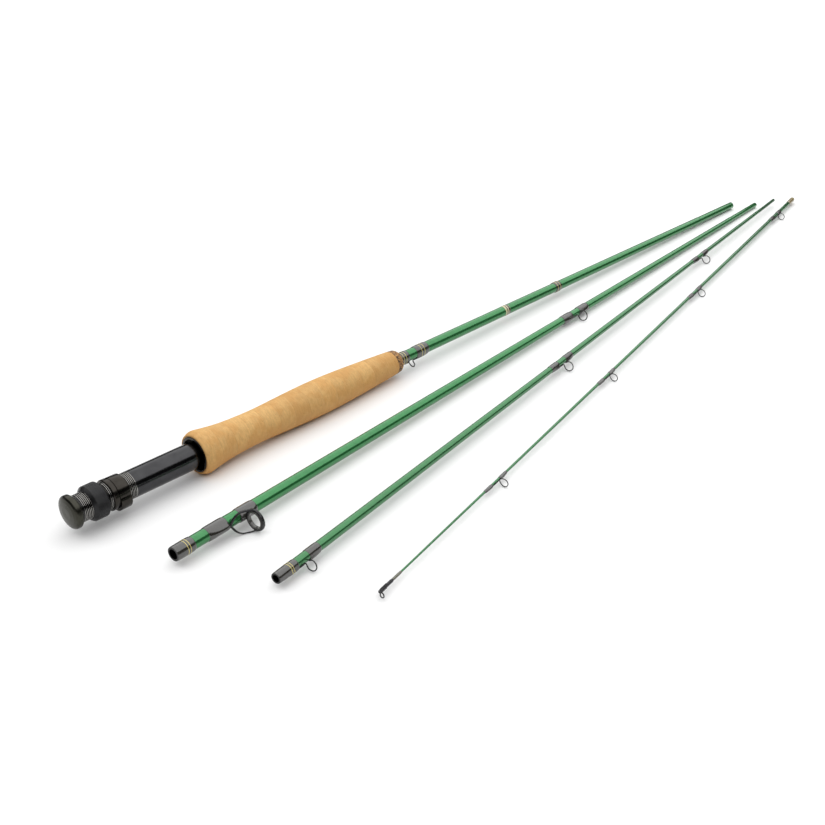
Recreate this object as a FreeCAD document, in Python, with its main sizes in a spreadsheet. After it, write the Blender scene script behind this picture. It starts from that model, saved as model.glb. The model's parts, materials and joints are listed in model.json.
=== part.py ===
"""Four-piece fly rod laid out on the ground as a fan: butt section with reel seat, cork grip and
hook keeper, a second section with the stripping guide, a third section, and the tip section.

Millimetres. +X runs along the butt section from cap to tip end, +Z is up, and the ground is Z = 0.
Every piece is drawn in the frame of its own section: local X along the section, the section's
axis on local X, and the guides on the local -Y side. The section's placement then lays it down.
"""
import FreeCAD, Part
import math
import os
import Sketcher

Vector = FreeCAD.Vector

# ---------------------------------------------------------------- driving dimensions
DIMENSIONS = {
    # frame: where the row's origin lies in the fan, under the middle of its bounding box
    "origin_x": 388.28,
    "origin_y": -86.75,
    # where each section's first end lies, how far it turns, dips and rolls (degrees)
    "butt_x": 0.0, "butt_y": 0.0, "butt_z": 16.42, "butt_yaw": 0.0, "butt_dip": 1.04, "butt_roll": 45.0,
    "second_x": 21.2, "second_y": -72.0, "second_z": 8.4,
    "second_yaw": 4.46, "second_dip": 0.484, "second_roll": 0.0,
    "third_x": 44.4, "third_y": -133.1, "third_z": 6.63,
    "third_yaw": 8.43, "third_dip": 0.08, "third_roll": 20.0,
    "tip_x": 72.3, "tip_y": -183.8, "tip_z": 3.44, "tip_yaw": 11.73, "tip_dip": 0.0, "tip_roll": 0.0,
    # section lengths, and the ferrules that join them
    "butt_length": 725.0, "second_length": 724.0, "third_length": 721.0, "tip_length": 719.0,
    "ferrule_1_length": 57.0, "ferrule_2_length": 50.0, "ferrule_3_length": 39.0,
    "ferrule_1_radius": 3.2, "ferrule_2_radius": 2.25, "ferrule_3_radius": 1.42,
    "ferrule_clearance": 0.05, "ferrule_end_room": 1.0,
    # blank taper: outer radius at the two ends of each cone, inner radius at the same ends
    "butt_blank_start": 13.0, "butt_thick": 5.0, "butt_thin": 3.32,
    "butt_bore_thick": 3.8, "butt_bore_thin": 2.2,
    "second_thick": 4.4, "second_thin": 2.36, "second_bore_thick": 3.1, "second_bore_thin": 1.5,
    "third_thick": 3.3, "third_thin": 1.5, "third_bore_thick": 2.1, "third_bore_thin": 0.8,
    "tip_blank_start": 6.0, "tip_thin": 0.62,
    "tip_flare_start": 690.0, "tip_thick": 1.8, "tip_mouth_radius": 2.02,
    "tip_bore_thick": 1.25, "tip_bore_thin": 0.4, "tip_bore_end": 120.0,
    # reel seat
    "cap_radius": 10.8, "cap_length": 6.6, "cap_plug_length": 5.8, "cap_rounding": 2.2, "cap_chamfer": 1.8,
    "barrel_radius": 8.8, "barrel_bore": 7.5, "barrel_end": 104.0,
    "thread_start": 7.1, "thread_pitch": 1.05, "thread_depth": 0.5, "thread_turns": 35.0,
    "seat_clearance": 0.07,
    "arbor_length": 12.0, "arbor_first": 16.0, "arbor_spacing": 30.0,
    "nut_start": 13.0, "nut_length": 11.5, "nut_radius": 11.3, "nut_chamfer": 2.1, "nut_front_chamfer": 1.9,
    "ring_groove_start": 21.0, "ring_groove_width": 2.0, "ring_groove_radius": 9.9, "ring_gap": 0.1,
    "hood_nut_start": 27.0, "hood_nut_length": 3.3, "hood_nut_radius": 10.2,
    "hood_neck_length": 2.0, "hood_neck_radius": 9.4, "hood_neck_gap": 0.1, "hood_gap": 0.5,
    "hood_end": 38.6, "hood_radius": 10.0, "hood_counterbore": 2.2,
    "lobe_offset": 4.4, "lobe_radius": 7.6, "lobe_wall": 1.0, "pocket_depth": 5.2,
    "fore_hood_start": 92.0, "fore_hood_radius": 12.0, "fore_hood_pocket": 9.0, "fore_hood_lobe": 6.9,
    "fore_hood_recess": 3.0, "fore_hood_recess_radius": 10.4,
    # grip
    "grip_start": 92.3, "grip_end": 273.4, "burl_length": 6.8, "cork_ring_count": 14.0,
    "burl_chamfer": 2.2,
    # butt wraps, keeper and bands
    "wrap_thickness": 0.42, "wrap_edge": 0.12, "wrap_ramp": 1.6,
    "band_width": 0.5, "band_depth": 0.12, "band_proud": 0.04,
    "keeper_wrap_start": 273.4, "keeper_wrap_end": 282.4,
    "keeper_second_start": 290.0, "keeper_second_end": 302.6,
    "keeper_wire": 0.42, "keeper_reach": 9.2, "keeper_rear_leg": 281.6, "keeper_front_leg": 285.4,
    "keeper_foot": 7.5, "keeper_bend": 1.0, "keeper_cover": 0.26,
    "marker_start": 453.4, "marker_end": 460.6, "label_start": 390.0, "label_end": 395.4,
    # ferrule wraps
    "second_mouth_wrap": 13.6, "tip_mouth_wrap": 14.0, "thin_wrap": 0.24,
    # stripping guide
    "stripper_at": 52.5, "stripper_height": 12.0, "stripper_radius": 7.35, "stripper_seat": 5.8,
    "stripper_width": 1.7, "ceramic_width": 2.5, "ceramic_bore": 4.75, "ceramic_rounding": 0.45,
    "stripper_wire": 0.5, "stripper_spread": 7.5,
    "stripper_foot_width": 2.4, "stripper_foot_tip": 0.7, "stripper_foot_thick": 0.8,
    "stripper_rear_start": 23.8, "stripper_rear_end": 38.8,
    "stripper_front_start": 48.4, "stripper_front_end": 62.0, "stripper_front_swell": 53.6,
    "stripper_cover": 1.5,
    # snake guides: one turn of wire between two feet
    "snake_advance": 2.4, "snake_lean": 1.7, "snake_lead": 0.7, "snake_cover": 0.26,
    "second_snake_gap": 9.8, "second_snake_foot": 8.0, "second_snake_wrap": 12.4, "second_snake_wire": 0.42,
    "third_snake_gap": 9.6, "third_snake_foot": 6.6, "third_snake_wrap": 10.2, "third_snake_wire": 0.38,
    "tip_snake_gap": 9.6, "tip_snake_foot": 5.6, "tip_snake_wrap": 9.0, "tip_snake_wire": 0.32,
    # tip-top
    "top_tube_start": 2.6, "top_tube_end": 15.6, "top_tube_radius": 1.05,
    "top_loop_radius": 1.75, "top_loop_wire": 0.36, "top_loop_height": 2.5, "top_loop_at": 1.2,
    "top_wrap_end": 24.5,
}

# snake guides: section, name, middle of the guide, radius of the turn, rise of the turn off the blank
SNAKES = (
    ("second", "snake_guide_2", 409.6, 4.0, 0.1),
    ("third", "snake_guide_3", 20.9, 3.2, 0.5),
    ("third", "snake_guide_4", 312.7, 3.3, 0.75),
    ("third", "snake_guide_5", 552.6, 3.2, 1.1),
    ("tip", "snake_guide_6", 667.0, 3.2, 0.1),
    ("tip", "snake_guide_7", 465.0, 3.3, 0.4),
    ("tip", "snake_guide_8", 294.4, 3.1, 0.7),
    ("tip", "snake_guide_9", 132.2, 3.1, 0.7),
)
# the guide whose rear wrap runs on to its section's mouth
MOUTH_GUIDE = "snake_guide_3"
# outer radius of the cork grip along its length, as shares of the grip's length
GRIP_PROFILE = (
    (0.000, 13.30), (0.022, 14.62), (0.060, 13.75), (0.115, 12.45), (0.165, 11.72), (0.230, 11.30),
    (0.300, 11.22), (0.430, 12.02), (0.520, 12.42), (0.600, 12.37), (0.700, 11.75), (0.810, 10.67),
    (0.930, 9.28), (1.000, 8.35),
)

doc = FreeCAD.newDocument("fly_rod")
sheet = doc.addObject("Spreadsheet::Sheet", "dims")


def fill_sheet():
    """Write each driving dimension to its own row: its name, then its value under that alias."""
    for row, (alias, value) in enumerate(DIMENSIONS.items(), start=1):
        sheet.set(f"A{row}", alias)
        sheet.set(f"B{row}", str(value))
        sheet.setAlias(f"B{row}", alias)
    doc.recompute()


def value(alias):
    """The sheet's number for an alias."""
    return float(sheet.get(alias))


def number(expression):
    """The value that an expression over the sheet has now."""
    return float(sheet.evalExpression(expression))


# ---------------------------------------------------------------- sections
def section_placement(section):
    """Where a section lies: rolled about its own axis, dipped, turned, then moved to its place."""
    base = Vector(
        value(f"{section}_x") - value("origin_x"),
        value(f"{section}_y") - value("origin_y"),
        value(f"{section}_z"),
    )
    rotation = FreeCAD.Rotation(
        value(f"{section}_yaw"), value(f"{section}_dip"), value(f"{section}_roll")
    )
    return FreeCAD.Placement(base, rotation)


# each blank's taper: (start, radius at the start, end, radius at the end), as expressions
TAPERS = {
    "butt": (
        "dims.butt_blank_start", "dims.butt_thick",
        "(dims.butt_length - dims.ferrule_1_length)", "dims.butt_thin",
    ),
    "second": (
        "0", "dims.second_thick", "(dims.second_length - dims.ferrule_2_length)", "dims.second_thin",
    ),
    "third": (
        "0", "dims.third_thick", "(dims.third_length - dims.ferrule_3_length)", "dims.third_thin",
    ),
    "tip": (
        "dims.tip_blank_start", "dims.tip_thin", "dims.tip_flare_start", "dims.tip_thick",
    ),
}


def skin(section, station):
    """Expression for the blank's outer radius at a station of its long taper."""
    start, first, end, last = TAPERS[section]
    return f"({first} + ({last} - {first}) * (({station}) - {start}) / ({end} - {start}))"


def mouth_skin(station):
    """Expression for the tip blank's outer radius along its flared female end."""
    share = f"(({station}) - dims.tip_flare_start) / (dims.tip_length - dims.tip_flare_start)"
    return f"(dims.tip_thick + (dims.tip_mouth_radius - dims.tip_thick) * {share})"


# ---------------------------------------------------------------- building blocks
nodes = []


def finish(thing, label, section):
    """Name a finished sub-part and lay it down with its section."""
    thing.Label = label
    thing.Placement = section_placement(section)
    nodes.append(thing)


def origin_plane(body, role):
    """One of a body's own origin planes."""
    return next(feature for feature in body.Origin.OriginFeatures if feature.Role == role)


def profile_sketch(body, name, outline, role="XY_Plane"):
    """A closed sketch of straight edges whose corners are (x, y) expressions over the sheet."""
    sketch = body.newObject("Sketcher::SketchObject", name)
    sketch.AttachmentSupport = (origin_plane(body, role), [""])
    sketch.MapMode = "FlatFace"
    corners = [Vector(number(x), number(y), 0) for x, y in outline]
    for index, corner in enumerate(corners):
        following = corners[(index + 1) % len(corners)]
        sketch.addGeometry(Part.LineSegment(corner, following), False)
    for index in range(len(corners)):
        sketch.addConstraint(Sketcher.Constraint("Coincident", index, 2, (index + 1) % len(corners), 1))
    for index, (corner, pair) in enumerate(zip(corners, outline)):
        for kind, axis, size, expression in (
            ("DistanceX", -2, corner.x, pair[0]),
            ("DistanceY", -1, corner.y, pair[1]),
        ):
            if abs(size) < 1e-9:
                sketch.addConstraint(Sketcher.Constraint("PointOnObject", index, 1, axis))
                continue
            place = sketch.addConstraint(Sketcher.Constraint(kind, -1, 1, index, 1, size))
            sketch.setExpression(f"Constraints[{place}]", expression)
    return sketch


def revolved(name, outline):
    """A body turned about local X from a half outline of (station, radius) expressions."""
    body = doc.addObject("PartDesign::Body", name)
    sketch = profile_sketch(body, name + "_profile", outline)
    turn = body.newObject("PartDesign::Revolution", name + "_turn")
    turn.Profile = sketch
    turn.ReferenceAxis = (sketch, ["H_Axis"])
    turn.Angle = 360.0
    body.Tip = turn
    return body


def along_x(kind, name, start, length, sideways):
    """A round Part primitive laid along local X, its axis moved towards the guide side."""
    solid = doc.addObject(kind, name)
    solid.setExpression("Height", length)
    solid.Placement.Rotation = FreeCAD.Rotation(Vector(0, 1, 0), 90)
    solid.setExpression("Placement.Base.x", start)
    solid.setExpression("Placement.Base.y", f"-({sideways})")
    return solid


def cylinder(name, start, radius, length, sideways="0"):
    """A cylinder along local X."""
    solid = along_x("Part::Cylinder", name, start, length, sideways)
    solid.setExpression("Radius", radius)
    return solid


def cone(name, start, first, last, length, sideways="0"):
    """A cone along local X from radius first to radius last."""
    solid = along_x("Part::Cone", name, start, length, sideways)
    solid.setExpression("Radius1", first)
    solid.setExpression("Radius2", last)
    return solid


def fused(name, pieces):
    """Several solids made into one."""
    solid = doc.addObject("Part::MultiFuse", name)
    solid.Shapes = pieces
    return solid


def cut(name, base, tool):
    """The base less the tool."""
    solid = doc.addObject("Part::Cut", name)
    solid.Base = base
    solid.Tool = tool
    return solid


def group(name, pieces):
    """Separate solids that make one sub-part."""
    collection = doc.addObject("Part::Compound", name)
    collection.Links = pieces
    return collection


def tangent_arc(start, direction, end):
    """The edge that leaves start along a direction and ends at a point: an arc, or a line."""
    chord = end - start
    reach = chord.Length
    across = direction - chord * (direction.dot(chord) / (reach * reach))
    if across.Length < 1e-6:
        return Part.makeLine(start, end)
    bend = direction.getAngle(chord)
    through = start + chord * 0.5 + across.normalize() * (reach / 2 * math.tan(bend / 2))
    return Part.Arc(start, through, end).toShape()


def arcs_through(stops):
    """Pairs of tangent arcs that join points, each point given with the wire's direction there."""
    edges = []
    for (start, leaving), (end, arriving) in zip(stops, stops[1:]):
        first = Vector(leaving).normalize()
        last = Vector(arriving).normalize()
        chord = end - start
        spread = 2 * (1 - first.dot(last))
        lean = chord.dot(first + last)
        if spread < 1e-9:
            reach = chord.dot(chord) / (2 * lean)
        else:
            reach = (math.sqrt(lean * lean + spread * chord.dot(chord)) - lean) / spread
        joint = (start + end + (first - last) * reach) * 0.5
        edges.append(tangent_arc(start, first, joint))
        back = tangent_arc(end, last * -1, joint)
        middle = back.valueAt((back.FirstParameter + back.LastParameter) / 2)
        straight = (middle - (joint + end) * 0.5).Length < 1e-7
        edges.append(Part.makeLine(joint, end) if straight else Part.Arc(joint, middle, end).toShape())
    return edges


def swept(name, edges, radius):
    """A round wire swept along tangent edges; its volume must be its section times its length."""
    spine = Part.Wire(edges)
    first = edges[0]
    start = first.valueAt(first.FirstParameter)
    tangent = first.tangentAt(first.FirstParameter)
    section = Part.Wire([Part.makeCircle(radius, start, tangent)])
    solid = doc.addObject("Part::Feature", name)
    solid.Shape = spine.makePipeShell([section], True, False)
    expected = math.pi * radius * radius * spine.Length
    if abs(solid.Shape.Volume / expected - 1) > 0.01:
        raise RuntimeError(f"{name}: swept volume {solid.Shape.Volume:.3f}, expected {expected:.3f}")
    return solid


def wrap_outline(surface, start, end, thickness="dims.wrap_thickness"):
    """Half outline of a thread wrap under its finish: flush on the blank, with sloping ends."""
    ramp = "dims.wrap_ramp"
    return [
        (start, surface(start)),
        (end, surface(end)),
        (end, f"{surface(end)} + dims.wrap_edge"),
        (f"{end} - {ramp}", f"{surface(end + ' - ' + ramp)} + {thickness}"),
        (f"{start} + {ramp}", f"{surface(start + ' + ' + ramp)} + {thickness}"),
        (start, f"{surface(start)} + dims.wrap_edge"),
    ]


def trim_band(name, station, radius):
    """A narrow ring of bright thread let into a wrap whose outer radius is given."""
    inner = f"({radius}) - dims.band_depth"
    outer = f"({radius}) + dims.band_proud"
    end = f"{station} + dims.band_width"
    return revolved(name, [(station, inner), (end, inner), (end, outer), (station, outer)])


# ---------------------------------------------------------------- reel seat
def make_cap():
    """Mushroom-shaped end cap with a plug that is glued into the barrel."""
    plug = "dims.cap_length + dims.cap_plug_length"
    body = revolved("cap_body", [
        ("0", "0"),
        (plug, "0"),
        (plug, "dims.barrel_bore"),
        ("dims.cap_length", "dims.barrel_bore"),
        ("dims.cap_length", "dims.cap_radius - dims.cap_chamfer"),
        ("dims.cap_length - dims.cap_chamfer", "dims.cap_radius"),
        ("dims.cap_rounding", "dims.cap_radius"),
        ("dims.cap_rounding * 0.3", "dims.cap_radius - dims.cap_rounding * 0.3"),
        ("0", "dims.cap_radius - dims.cap_rounding"),
    ])
    finish(body, "butt_cap", "butt")


def make_barrel():
    """Seat barrel: a tube with a screw thread, drawn as ridges, and a smooth bed for the reel foot."""
    start = "dims.cap_length"
    body = revolved("barrel_body", [
        (start, "dims.barrel_bore"),
        ("dims.barrel_end", "dims.barrel_bore"),
        ("dims.barrel_end", "dims.barrel_radius"),
        (start, "dims.barrel_radius"),
    ])
    half = "dims.thread_pitch * 0.42"
    outline = [
        (f"dims.thread_start - {half} + 0.5", "dims.barrel_radius + 0.1"),
        ("dims.thread_start + 0.5", "dims.barrel_radius - dims.thread_depth"),
        (f"dims.thread_start + {half} + 0.5", "dims.barrel_radius + 0.1"),
    ]
    sketch = profile_sketch(body, "thread_profile", outline)
    groove = body.newObject("PartDesign::Groove", "thread_groove")
    groove.Profile = sketch
    groove.ReferenceAxis = (sketch, ["H_Axis"])
    groove.Angle = 360.0
    turns = body.newObject("PartDesign::LinearPattern", "thread_turns")
    turns.Originals = [groove]
    turns.Direction = (sketch, ["H_Axis"])
    turns.setExpression("Length", "dims.thread_pitch * (dims.thread_turns - 1)")
    turns.Occurrences = int(value("thread_turns"))
    body.Tip = turns
    finish(body, "reel_seat_barrel", "butt")


def make_arbors():
    """Bushings that centre the blank in the barrel."""
    rings = []
    for index in range(3):
        start = f"dims.arbor_first + {index} * dims.arbor_spacing"
        end = f"{start} + dims.arbor_length"
        rings.append(revolved(f"arbor_{index + 1}", [
            (start, skin("butt", start)),
            (end, skin("butt", end)),
            (end, "dims.barrel_bore"),
            (start, "dims.barrel_bore"),
        ]))
    finish(group("arbor_group", rings), "seat_arbors", "butt")


def make_lock_nut():
    """Lock nut with an inner groove, and the friction ring that sits in it."""
    bore = "dims.barrel_radius + dims.seat_clearance"
    start = "dims.nut_start"
    end = "dims.nut_start + dims.nut_length"
    groove_end = "dims.ring_groove_start + dims.ring_groove_width"
    nut = revolved("lock_nut_body", [
        (start, bore),
        ("dims.ring_groove_start", bore),
        ("dims.ring_groove_start", "dims.ring_groove_radius"),
        (groove_end, "dims.ring_groove_radius"),
        (groove_end, bore),
        (end, bore),
        (end, "dims.nut_radius - dims.nut_front_chamfer"),
        (f"{end} - dims.nut_front_chamfer", "dims.nut_radius"),
        (f"{start} + dims.nut_chamfer", "dims.nut_radius"),
        (start, "dims.nut_radius - dims.nut_chamfer * 0.8"),
    ])
    finish(nut, "lock_nut", "butt")
    ring_start = "dims.ring_groove_start + dims.ring_gap"
    ring_end = f"{groove_end} - dims.ring_gap"
    ring_outer = "dims.ring_groove_radius - dims.ring_gap"
    ring = revolved("friction_ring_body", [
        (ring_start, bore), (ring_end, bore), (ring_end, ring_outer), (ring_start, ring_outer),
    ])
    finish(ring, "lock_nut_friction_ring", "butt")


def make_hood():
    """Sliding hood with its lobe for the reel foot, and the nut that pushes it along."""
    bore = "dims.barrel_radius + dims.seat_clearance"
    nut_end = "dims.hood_nut_start + dims.hood_nut_length"
    neck_end = f"{nut_end} + dims.hood_neck_length"
    nut = revolved("hood_nut_body", [
        ("dims.hood_nut_start", bore),
        (neck_end, bore),
        (neck_end, "dims.hood_neck_radius"),
        (nut_end, "dims.hood_neck_radius"),
        (nut_end, "dims.hood_nut_radius"),
        ("dims.hood_nut_start + 0.5", "dims.hood_nut_radius"),
        ("dims.hood_nut_start", "dims.hood_nut_radius - 0.5"),
    ])
    finish(nut, "hood_nut", "butt")
    start = f"{nut_end} + dims.hood_gap"
    length = f"dims.hood_end - ({start})"
    shell = fused("hood_shell", [
        cylinder("hood_round", start, "dims.hood_radius", length),
        cylinder("hood_lobe", start, "dims.lobe_radius", length, "dims.lobe_offset"),
    ])
    soft = doc.addObject("Part::Fillet", "hood_soft")
    soft.Base = shell
    doc.recompute()
    front = number("dims.hood_end")
    rim = [
        (index + 1, 0.6, 0.6)
        for index, edge in enumerate(shell.Shape.Edges)
        if abs(edge.BoundBox.XMin - front) < 0.01 and abs(edge.BoundBox.XMax - front) < 0.01
    ]
    soft.Edges = rim
    hollow = fused("hood_hollow", [
        cylinder("hood_bore", f"{start} - 1", bore, f"{length} + 2"),
        cylinder(
            "hood_counterbore_tool", f"{start} - 1",
            "dims.hood_neck_radius + dims.hood_neck_gap", "dims.hood_counterbore + 1",
        ),
        cylinder(
            "hood_pocket", "dims.hood_end - dims.pocket_depth",
            "dims.lobe_radius - dims.lobe_wall", "dims.pocket_depth + 1", "dims.lobe_offset",
        ),
    ])
    finish(cut("hood_cut", soft, hollow), "sliding_hood", "butt")


def make_fore_hood():
    """Fixed hood sunk in the grip's rear face, with its own pocket for the reel foot."""
    length = "dims.barrel_end - dims.fore_hood_start"
    shell = cylinder("fore_hood_round", "dims.fore_hood_start", "dims.fore_hood_radius", length)
    hollow = fused("fore_hood_hollow", [
        cylinder("fore_hood_bore", "dims.fore_hood_start - 1", "dims.barrel_radius", f"{length} + 2"),
        cylinder(
            "fore_hood_pocket_tool", "dims.fore_hood_start - 1", "dims.fore_hood_lobe",
            "dims.fore_hood_pocket + 1", "dims.lobe_offset",
        ),
        cylinder(
            "fore_hood_recess_tool", "dims.fore_hood_start - 1", "dims.fore_hood_recess_radius",
            "dims.fore_hood_recess + 1",
        ),
    ])
    finish(cut("fore_hood_cut", shell, hollow), "fore_hood", "butt")


# ---------------------------------------------------------------- grip
def make_grip():
    """Cork rings turned to one smooth grip and glued end to end, with a burl ring in front."""
    start = value("grip_start")
    end = value("grip_end")
    burl = end - value("burl_length")
    hood_end = value("barrel_end")
    hood_radius = value("fore_hood_radius")
    points = [Vector(start + share * (end - start), 0, radius) for share, radius in GRIP_PROFILE]
    curve = Part.BSplineCurve()
    curve.interpolate(points)
    bore_front = Vector(end, 0, number(skin("butt", "dims.grip_end")))
    bore_rear = Vector(hood_end, 0, number(skin("butt", "dims.barrel_end")))
    recess = [bore_rear, Vector(hood_end, 0, hood_radius), Vector(start, 0, hood_radius), points[0]]
    corners = [points[-1], bore_front] + recess
    edges = [Part.makeLine(first, second) for first, second in zip(corners, corners[1:])]
    half_section = Part.Face(Part.Wire([curve.toShape()] + edges))

    def slice_solid(first, last):
        """The turned solid between two stations."""
        outline = [(first, 0), (last, 0), (last, 30), (first, 30), (first, 0)]
        window = Part.Face(Part.makePolygon([Vector(x, 0, z) for x, z in outline]))
        return half_section.common(window).Faces[0].revolve(Vector(), Vector(1, 0, 0), 360)

    count = int(value("cork_ring_count"))
    step = (burl - start) / count
    grip = doc.addObject("Part::Feature", "grip_rings")
    cuts = [start - 1] + [start + index * step for index in range(1, count)] + [burl]
    grip.Shape = Part.makeCompound([slice_solid(first, last) for first, last in zip(cuts, cuts[1:])])
    finish(grip, "cork_grip", "butt")
    burl_ring = slice_solid(burl, end + 1)
    rim = [
        edge for edge in burl_ring.Edges
        if abs(edge.BoundBox.XMin - end) < 0.01 and edge.BoundBox.ZMax > bore_front.z + 1
    ]
    burl_feature = doc.addObject("Part::Feature", "burl_turned")
    burl_feature.Shape = burl_ring.makeChamfer(value("burl_chamfer"), rim)
    finish(burl_feature, "burl_ring", "butt")


# ---------------------------------------------------------------- blanks
def make_butt_blank():
    """Hollow tapered blank of the butt section, with its male ferrule at the thin end."""
    shoulder = "dims.butt_length - dims.ferrule_1_length"
    body = revolved("butt_blank_body", [
        ("dims.butt_blank_start", "dims.butt_bore_thick"),
        ("dims.butt_length", "dims.butt_bore_thin"),
        ("dims.butt_length", "dims.ferrule_1_radius"),
        (shoulder, "dims.ferrule_1_radius"),
        (shoulder, "dims.butt_thin"),
        ("dims.butt_blank_start", "dims.butt_thick"),
    ])
    finish(body, "butt_blank", "butt")


def make_middle_blank(section, socket, socket_length, ferrule, ferrule_length):
    """Hollow tapered blank with a female ferrule at its thick end and a male one at its thin end."""
    length = f"dims.{section}_length"
    shoulder = f"{length} - dims.{ferrule_length}"
    socket_radius = f"dims.{socket} + dims.ferrule_clearance"
    depth = f"dims.{socket_length} + dims.ferrule_end_room"
    body = revolved(f"{section}_blank_body", [
        ("0", socket_radius),
        (depth, socket_radius),
        (depth, f"dims.{section}_bore_thick"),
        (length, f"dims.{section}_bore_thin"),
        (length, f"dims.{ferrule}"),
        (shoulder, f"dims.{ferrule}"),
        (shoulder, f"dims.{section}_thin"),
        ("0", f"dims.{section}_thick"),
    ])
    finish(body, f"{section}_blank", section)


def make_tip_blank():
    """Tip blank: solid at the fine end, hollow behind, with a female ferrule at its mouth."""
    mouth = "dims.tip_length"
    depth = f"{mouth} - dims.ferrule_3_length - dims.ferrule_end_room"
    socket_radius = "dims.ferrule_3_radius + dims.ferrule_clearance"
    body = revolved("tip_blank_body", [
        ("dims.tip_blank_start", "0"),
        ("dims.tip_bore_end", "0"),
        ("dims.tip_bore_end", "dims.tip_bore_thin"),
        (depth, "dims.tip_bore_thick"),
        (depth, socket_radius),
        (mouth, socket_radius),
        (mouth, "dims.tip_mouth_radius"),
        ("dims.tip_flare_start", "dims.tip_thick"),
        ("dims.tip_blank_start", "dims.tip_thin"),
    ])
    finish(body, "tip_blank", "tip")


# ---------------------------------------------------------------- wraps over feet
# how a swelling falls away from the guide's side to the outer end: (share of length, share of radius)
SWELLING = ((0.0, 1.0), (0.35, 0.97), (0.66, 0.84), (0.88, 0.5), (1.0, 0.06))


def covered(name, surface, outer, inner, foot_radius, cover, foot, thickness="dims.wrap_thickness", swell=None):
    """A wrap over a foot, from its outer end to its end at the guide, less the blank and the foot.

    foot_radius is half the foot's height; the thread swells over it by the cover, from the
    station swell where the guide leaves the foot beyond the wrap's own end.
    """
    swell = swell or inner
    forward = number(inner) > number(outer)
    start, end = (outer, inner) if forward else (inner, outer)
    ring = revolved(name, wrap_outline(surface, start, end, thickness))
    wide = f"({foot_radius} + {cover})"
    outline = [(outer, "0"), (swell, "0")]
    for along, across in SWELLING:
        outline.append((f"{swell} + (({outer}) - ({swell})) * {along}", f"{wide} * {across}"))
    hump = revolved(name + "_hump", outline)
    hump.setExpression("Placement.Base.y", f"-({surface(swell)} + {foot_radius})")
    core = cone(
        name + "_core", f"({start}) - 1", surface(f"({start}) - 1"), surface(f"({end}) + 1"),
        f"({end}) - ({start}) + 2",
    )
    hollow = cut(name + "_hollow", fused(name + "_swollen", [ring, hump]), core)
    return cut(name + "_seated", hollow, foot)


def banded(name, wrap, surface, stations, thickness="dims.wrap_thickness"):
    """A wrap grooved for bright bands at the stations, and the bands that fill the grooves."""
    bands = [
        trim_band(f"{name}_bright_{index + 1}", station, f"{surface(station)} + {thickness}")
        for index, station in enumerate(stations)
    ]
    return cut(name + "_grooved", wrap, group(name + "_grooves", bands)), bands


def surface_of(section):
    """The function that gives a section's outer radius at a station."""
    return lambda station: skin(section, station)


# ---------------------------------------------------------------- butt wraps and keeper
def make_keeper():
    """Hook keeper: a thin wire loop whose feet lie under the two wraps ahead of the grip."""
    wire = value("keeper_wire")
    reach = value("keeper_reach")
    rear = value("keeper_rear_leg")
    front = value("keeper_front_leg")
    bend = value("keeper_bend")
    foot = number(skin("butt", "dims.keeper_rear_leg")) + wire + 0.03
    half = (front - rear) / 2
    slant = bend * (1 - math.sqrt(0.5))

    def at(station, height):
        return Vector(station, -height, 0)

    def arc(first, through, last):
        return Part.Arc(first, through, last).toShape()

    edges = [
        Part.makeLine(at(rear - value("keeper_foot"), foot), at(rear - bend, foot)),
        arc(at(rear - bend, foot), at(rear - slant, foot + slant), at(rear, foot + bend)),
        Part.makeLine(at(rear, foot + bend), at(rear, reach - half)),
        arc(at(rear, reach - half), at(rear + half, reach), at(front, reach - half)),
        Part.makeLine(at(front, reach - half), at(front, foot + bend)),
        arc(at(front, foot + bend), at(front + slant, foot + slant), at(front + bend, foot)),
        Part.makeLine(at(front + bend, foot), at(front + value("keeper_foot"), foot)),
    ]
    return swept("keeper_wire_body", edges, wire)


def make_butt_wraps():
    """The keeper, the two wraps that hold it, the marker wrap, the label band and the bright bands."""
    surface = surface_of("butt")
    keeper = make_keeper()
    wraps = {
        "keeper_wrap_1": covered(
            "keeper_wrap_1", surface, "dims.keeper_wrap_start", "dims.keeper_wrap_end",
            "dims.keeper_wire", "dims.keeper_cover", keeper,
        ),
        "keeper_wrap_2": covered(
            "keeper_wrap_2", surface, "dims.keeper_second_end", "dims.keeper_second_start",
            "dims.keeper_wire", "dims.keeper_cover", keeper,
        ),
        "marker": revolved("marker", wrap_outline(surface, "dims.marker_start", "dims.marker_end")),
    }
    stations = {
        "keeper_wrap_1": ("dims.keeper_wrap_start + 2.6", "dims.keeper_wrap_start + 5.0"),
        "keeper_wrap_2": ("dims.keeper_second_start + 4.6", "dims.keeper_second_start + 7.4"),
        "marker": ("dims.marker_start + 1.7", "dims.marker_end - 2.4"),
    }
    grooved = {}
    bright = []
    for name, wrap in wraps.items():
        grooved[name], bands = banded(name, wrap, surface, stations[name])
        for index, band in enumerate(bands):
            bright.append(cut(f"{name}_trim_{index + 1}", band, keeper))
    both = [grooved["keeper_wrap_1"], grooved["keeper_wrap_2"]]
    finish(group("keeper_wraps_group", both), "keeper_wraps", "butt")
    finish(group("marker_group", [grooved["marker"]]), "marker_wrap", "butt")
    finish(group("butt_bright", bright), "butt_trim_bands", "butt")
    finish(group("keeper_group", [keeper]), "hook_keeper", "butt")
    label = revolved("label_band_body", [
        ("dims.label_start", surface("dims.label_start")),
        ("dims.label_end", surface("dims.label_end")),
        ("dims.label_end", f"{surface('dims.label_end')} + dims.wrap_edge"),
        ("dims.label_start", f"{surface('dims.label_start')} + dims.wrap_edge"),
    ])
    finish(label, "label_band", "butt")


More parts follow.
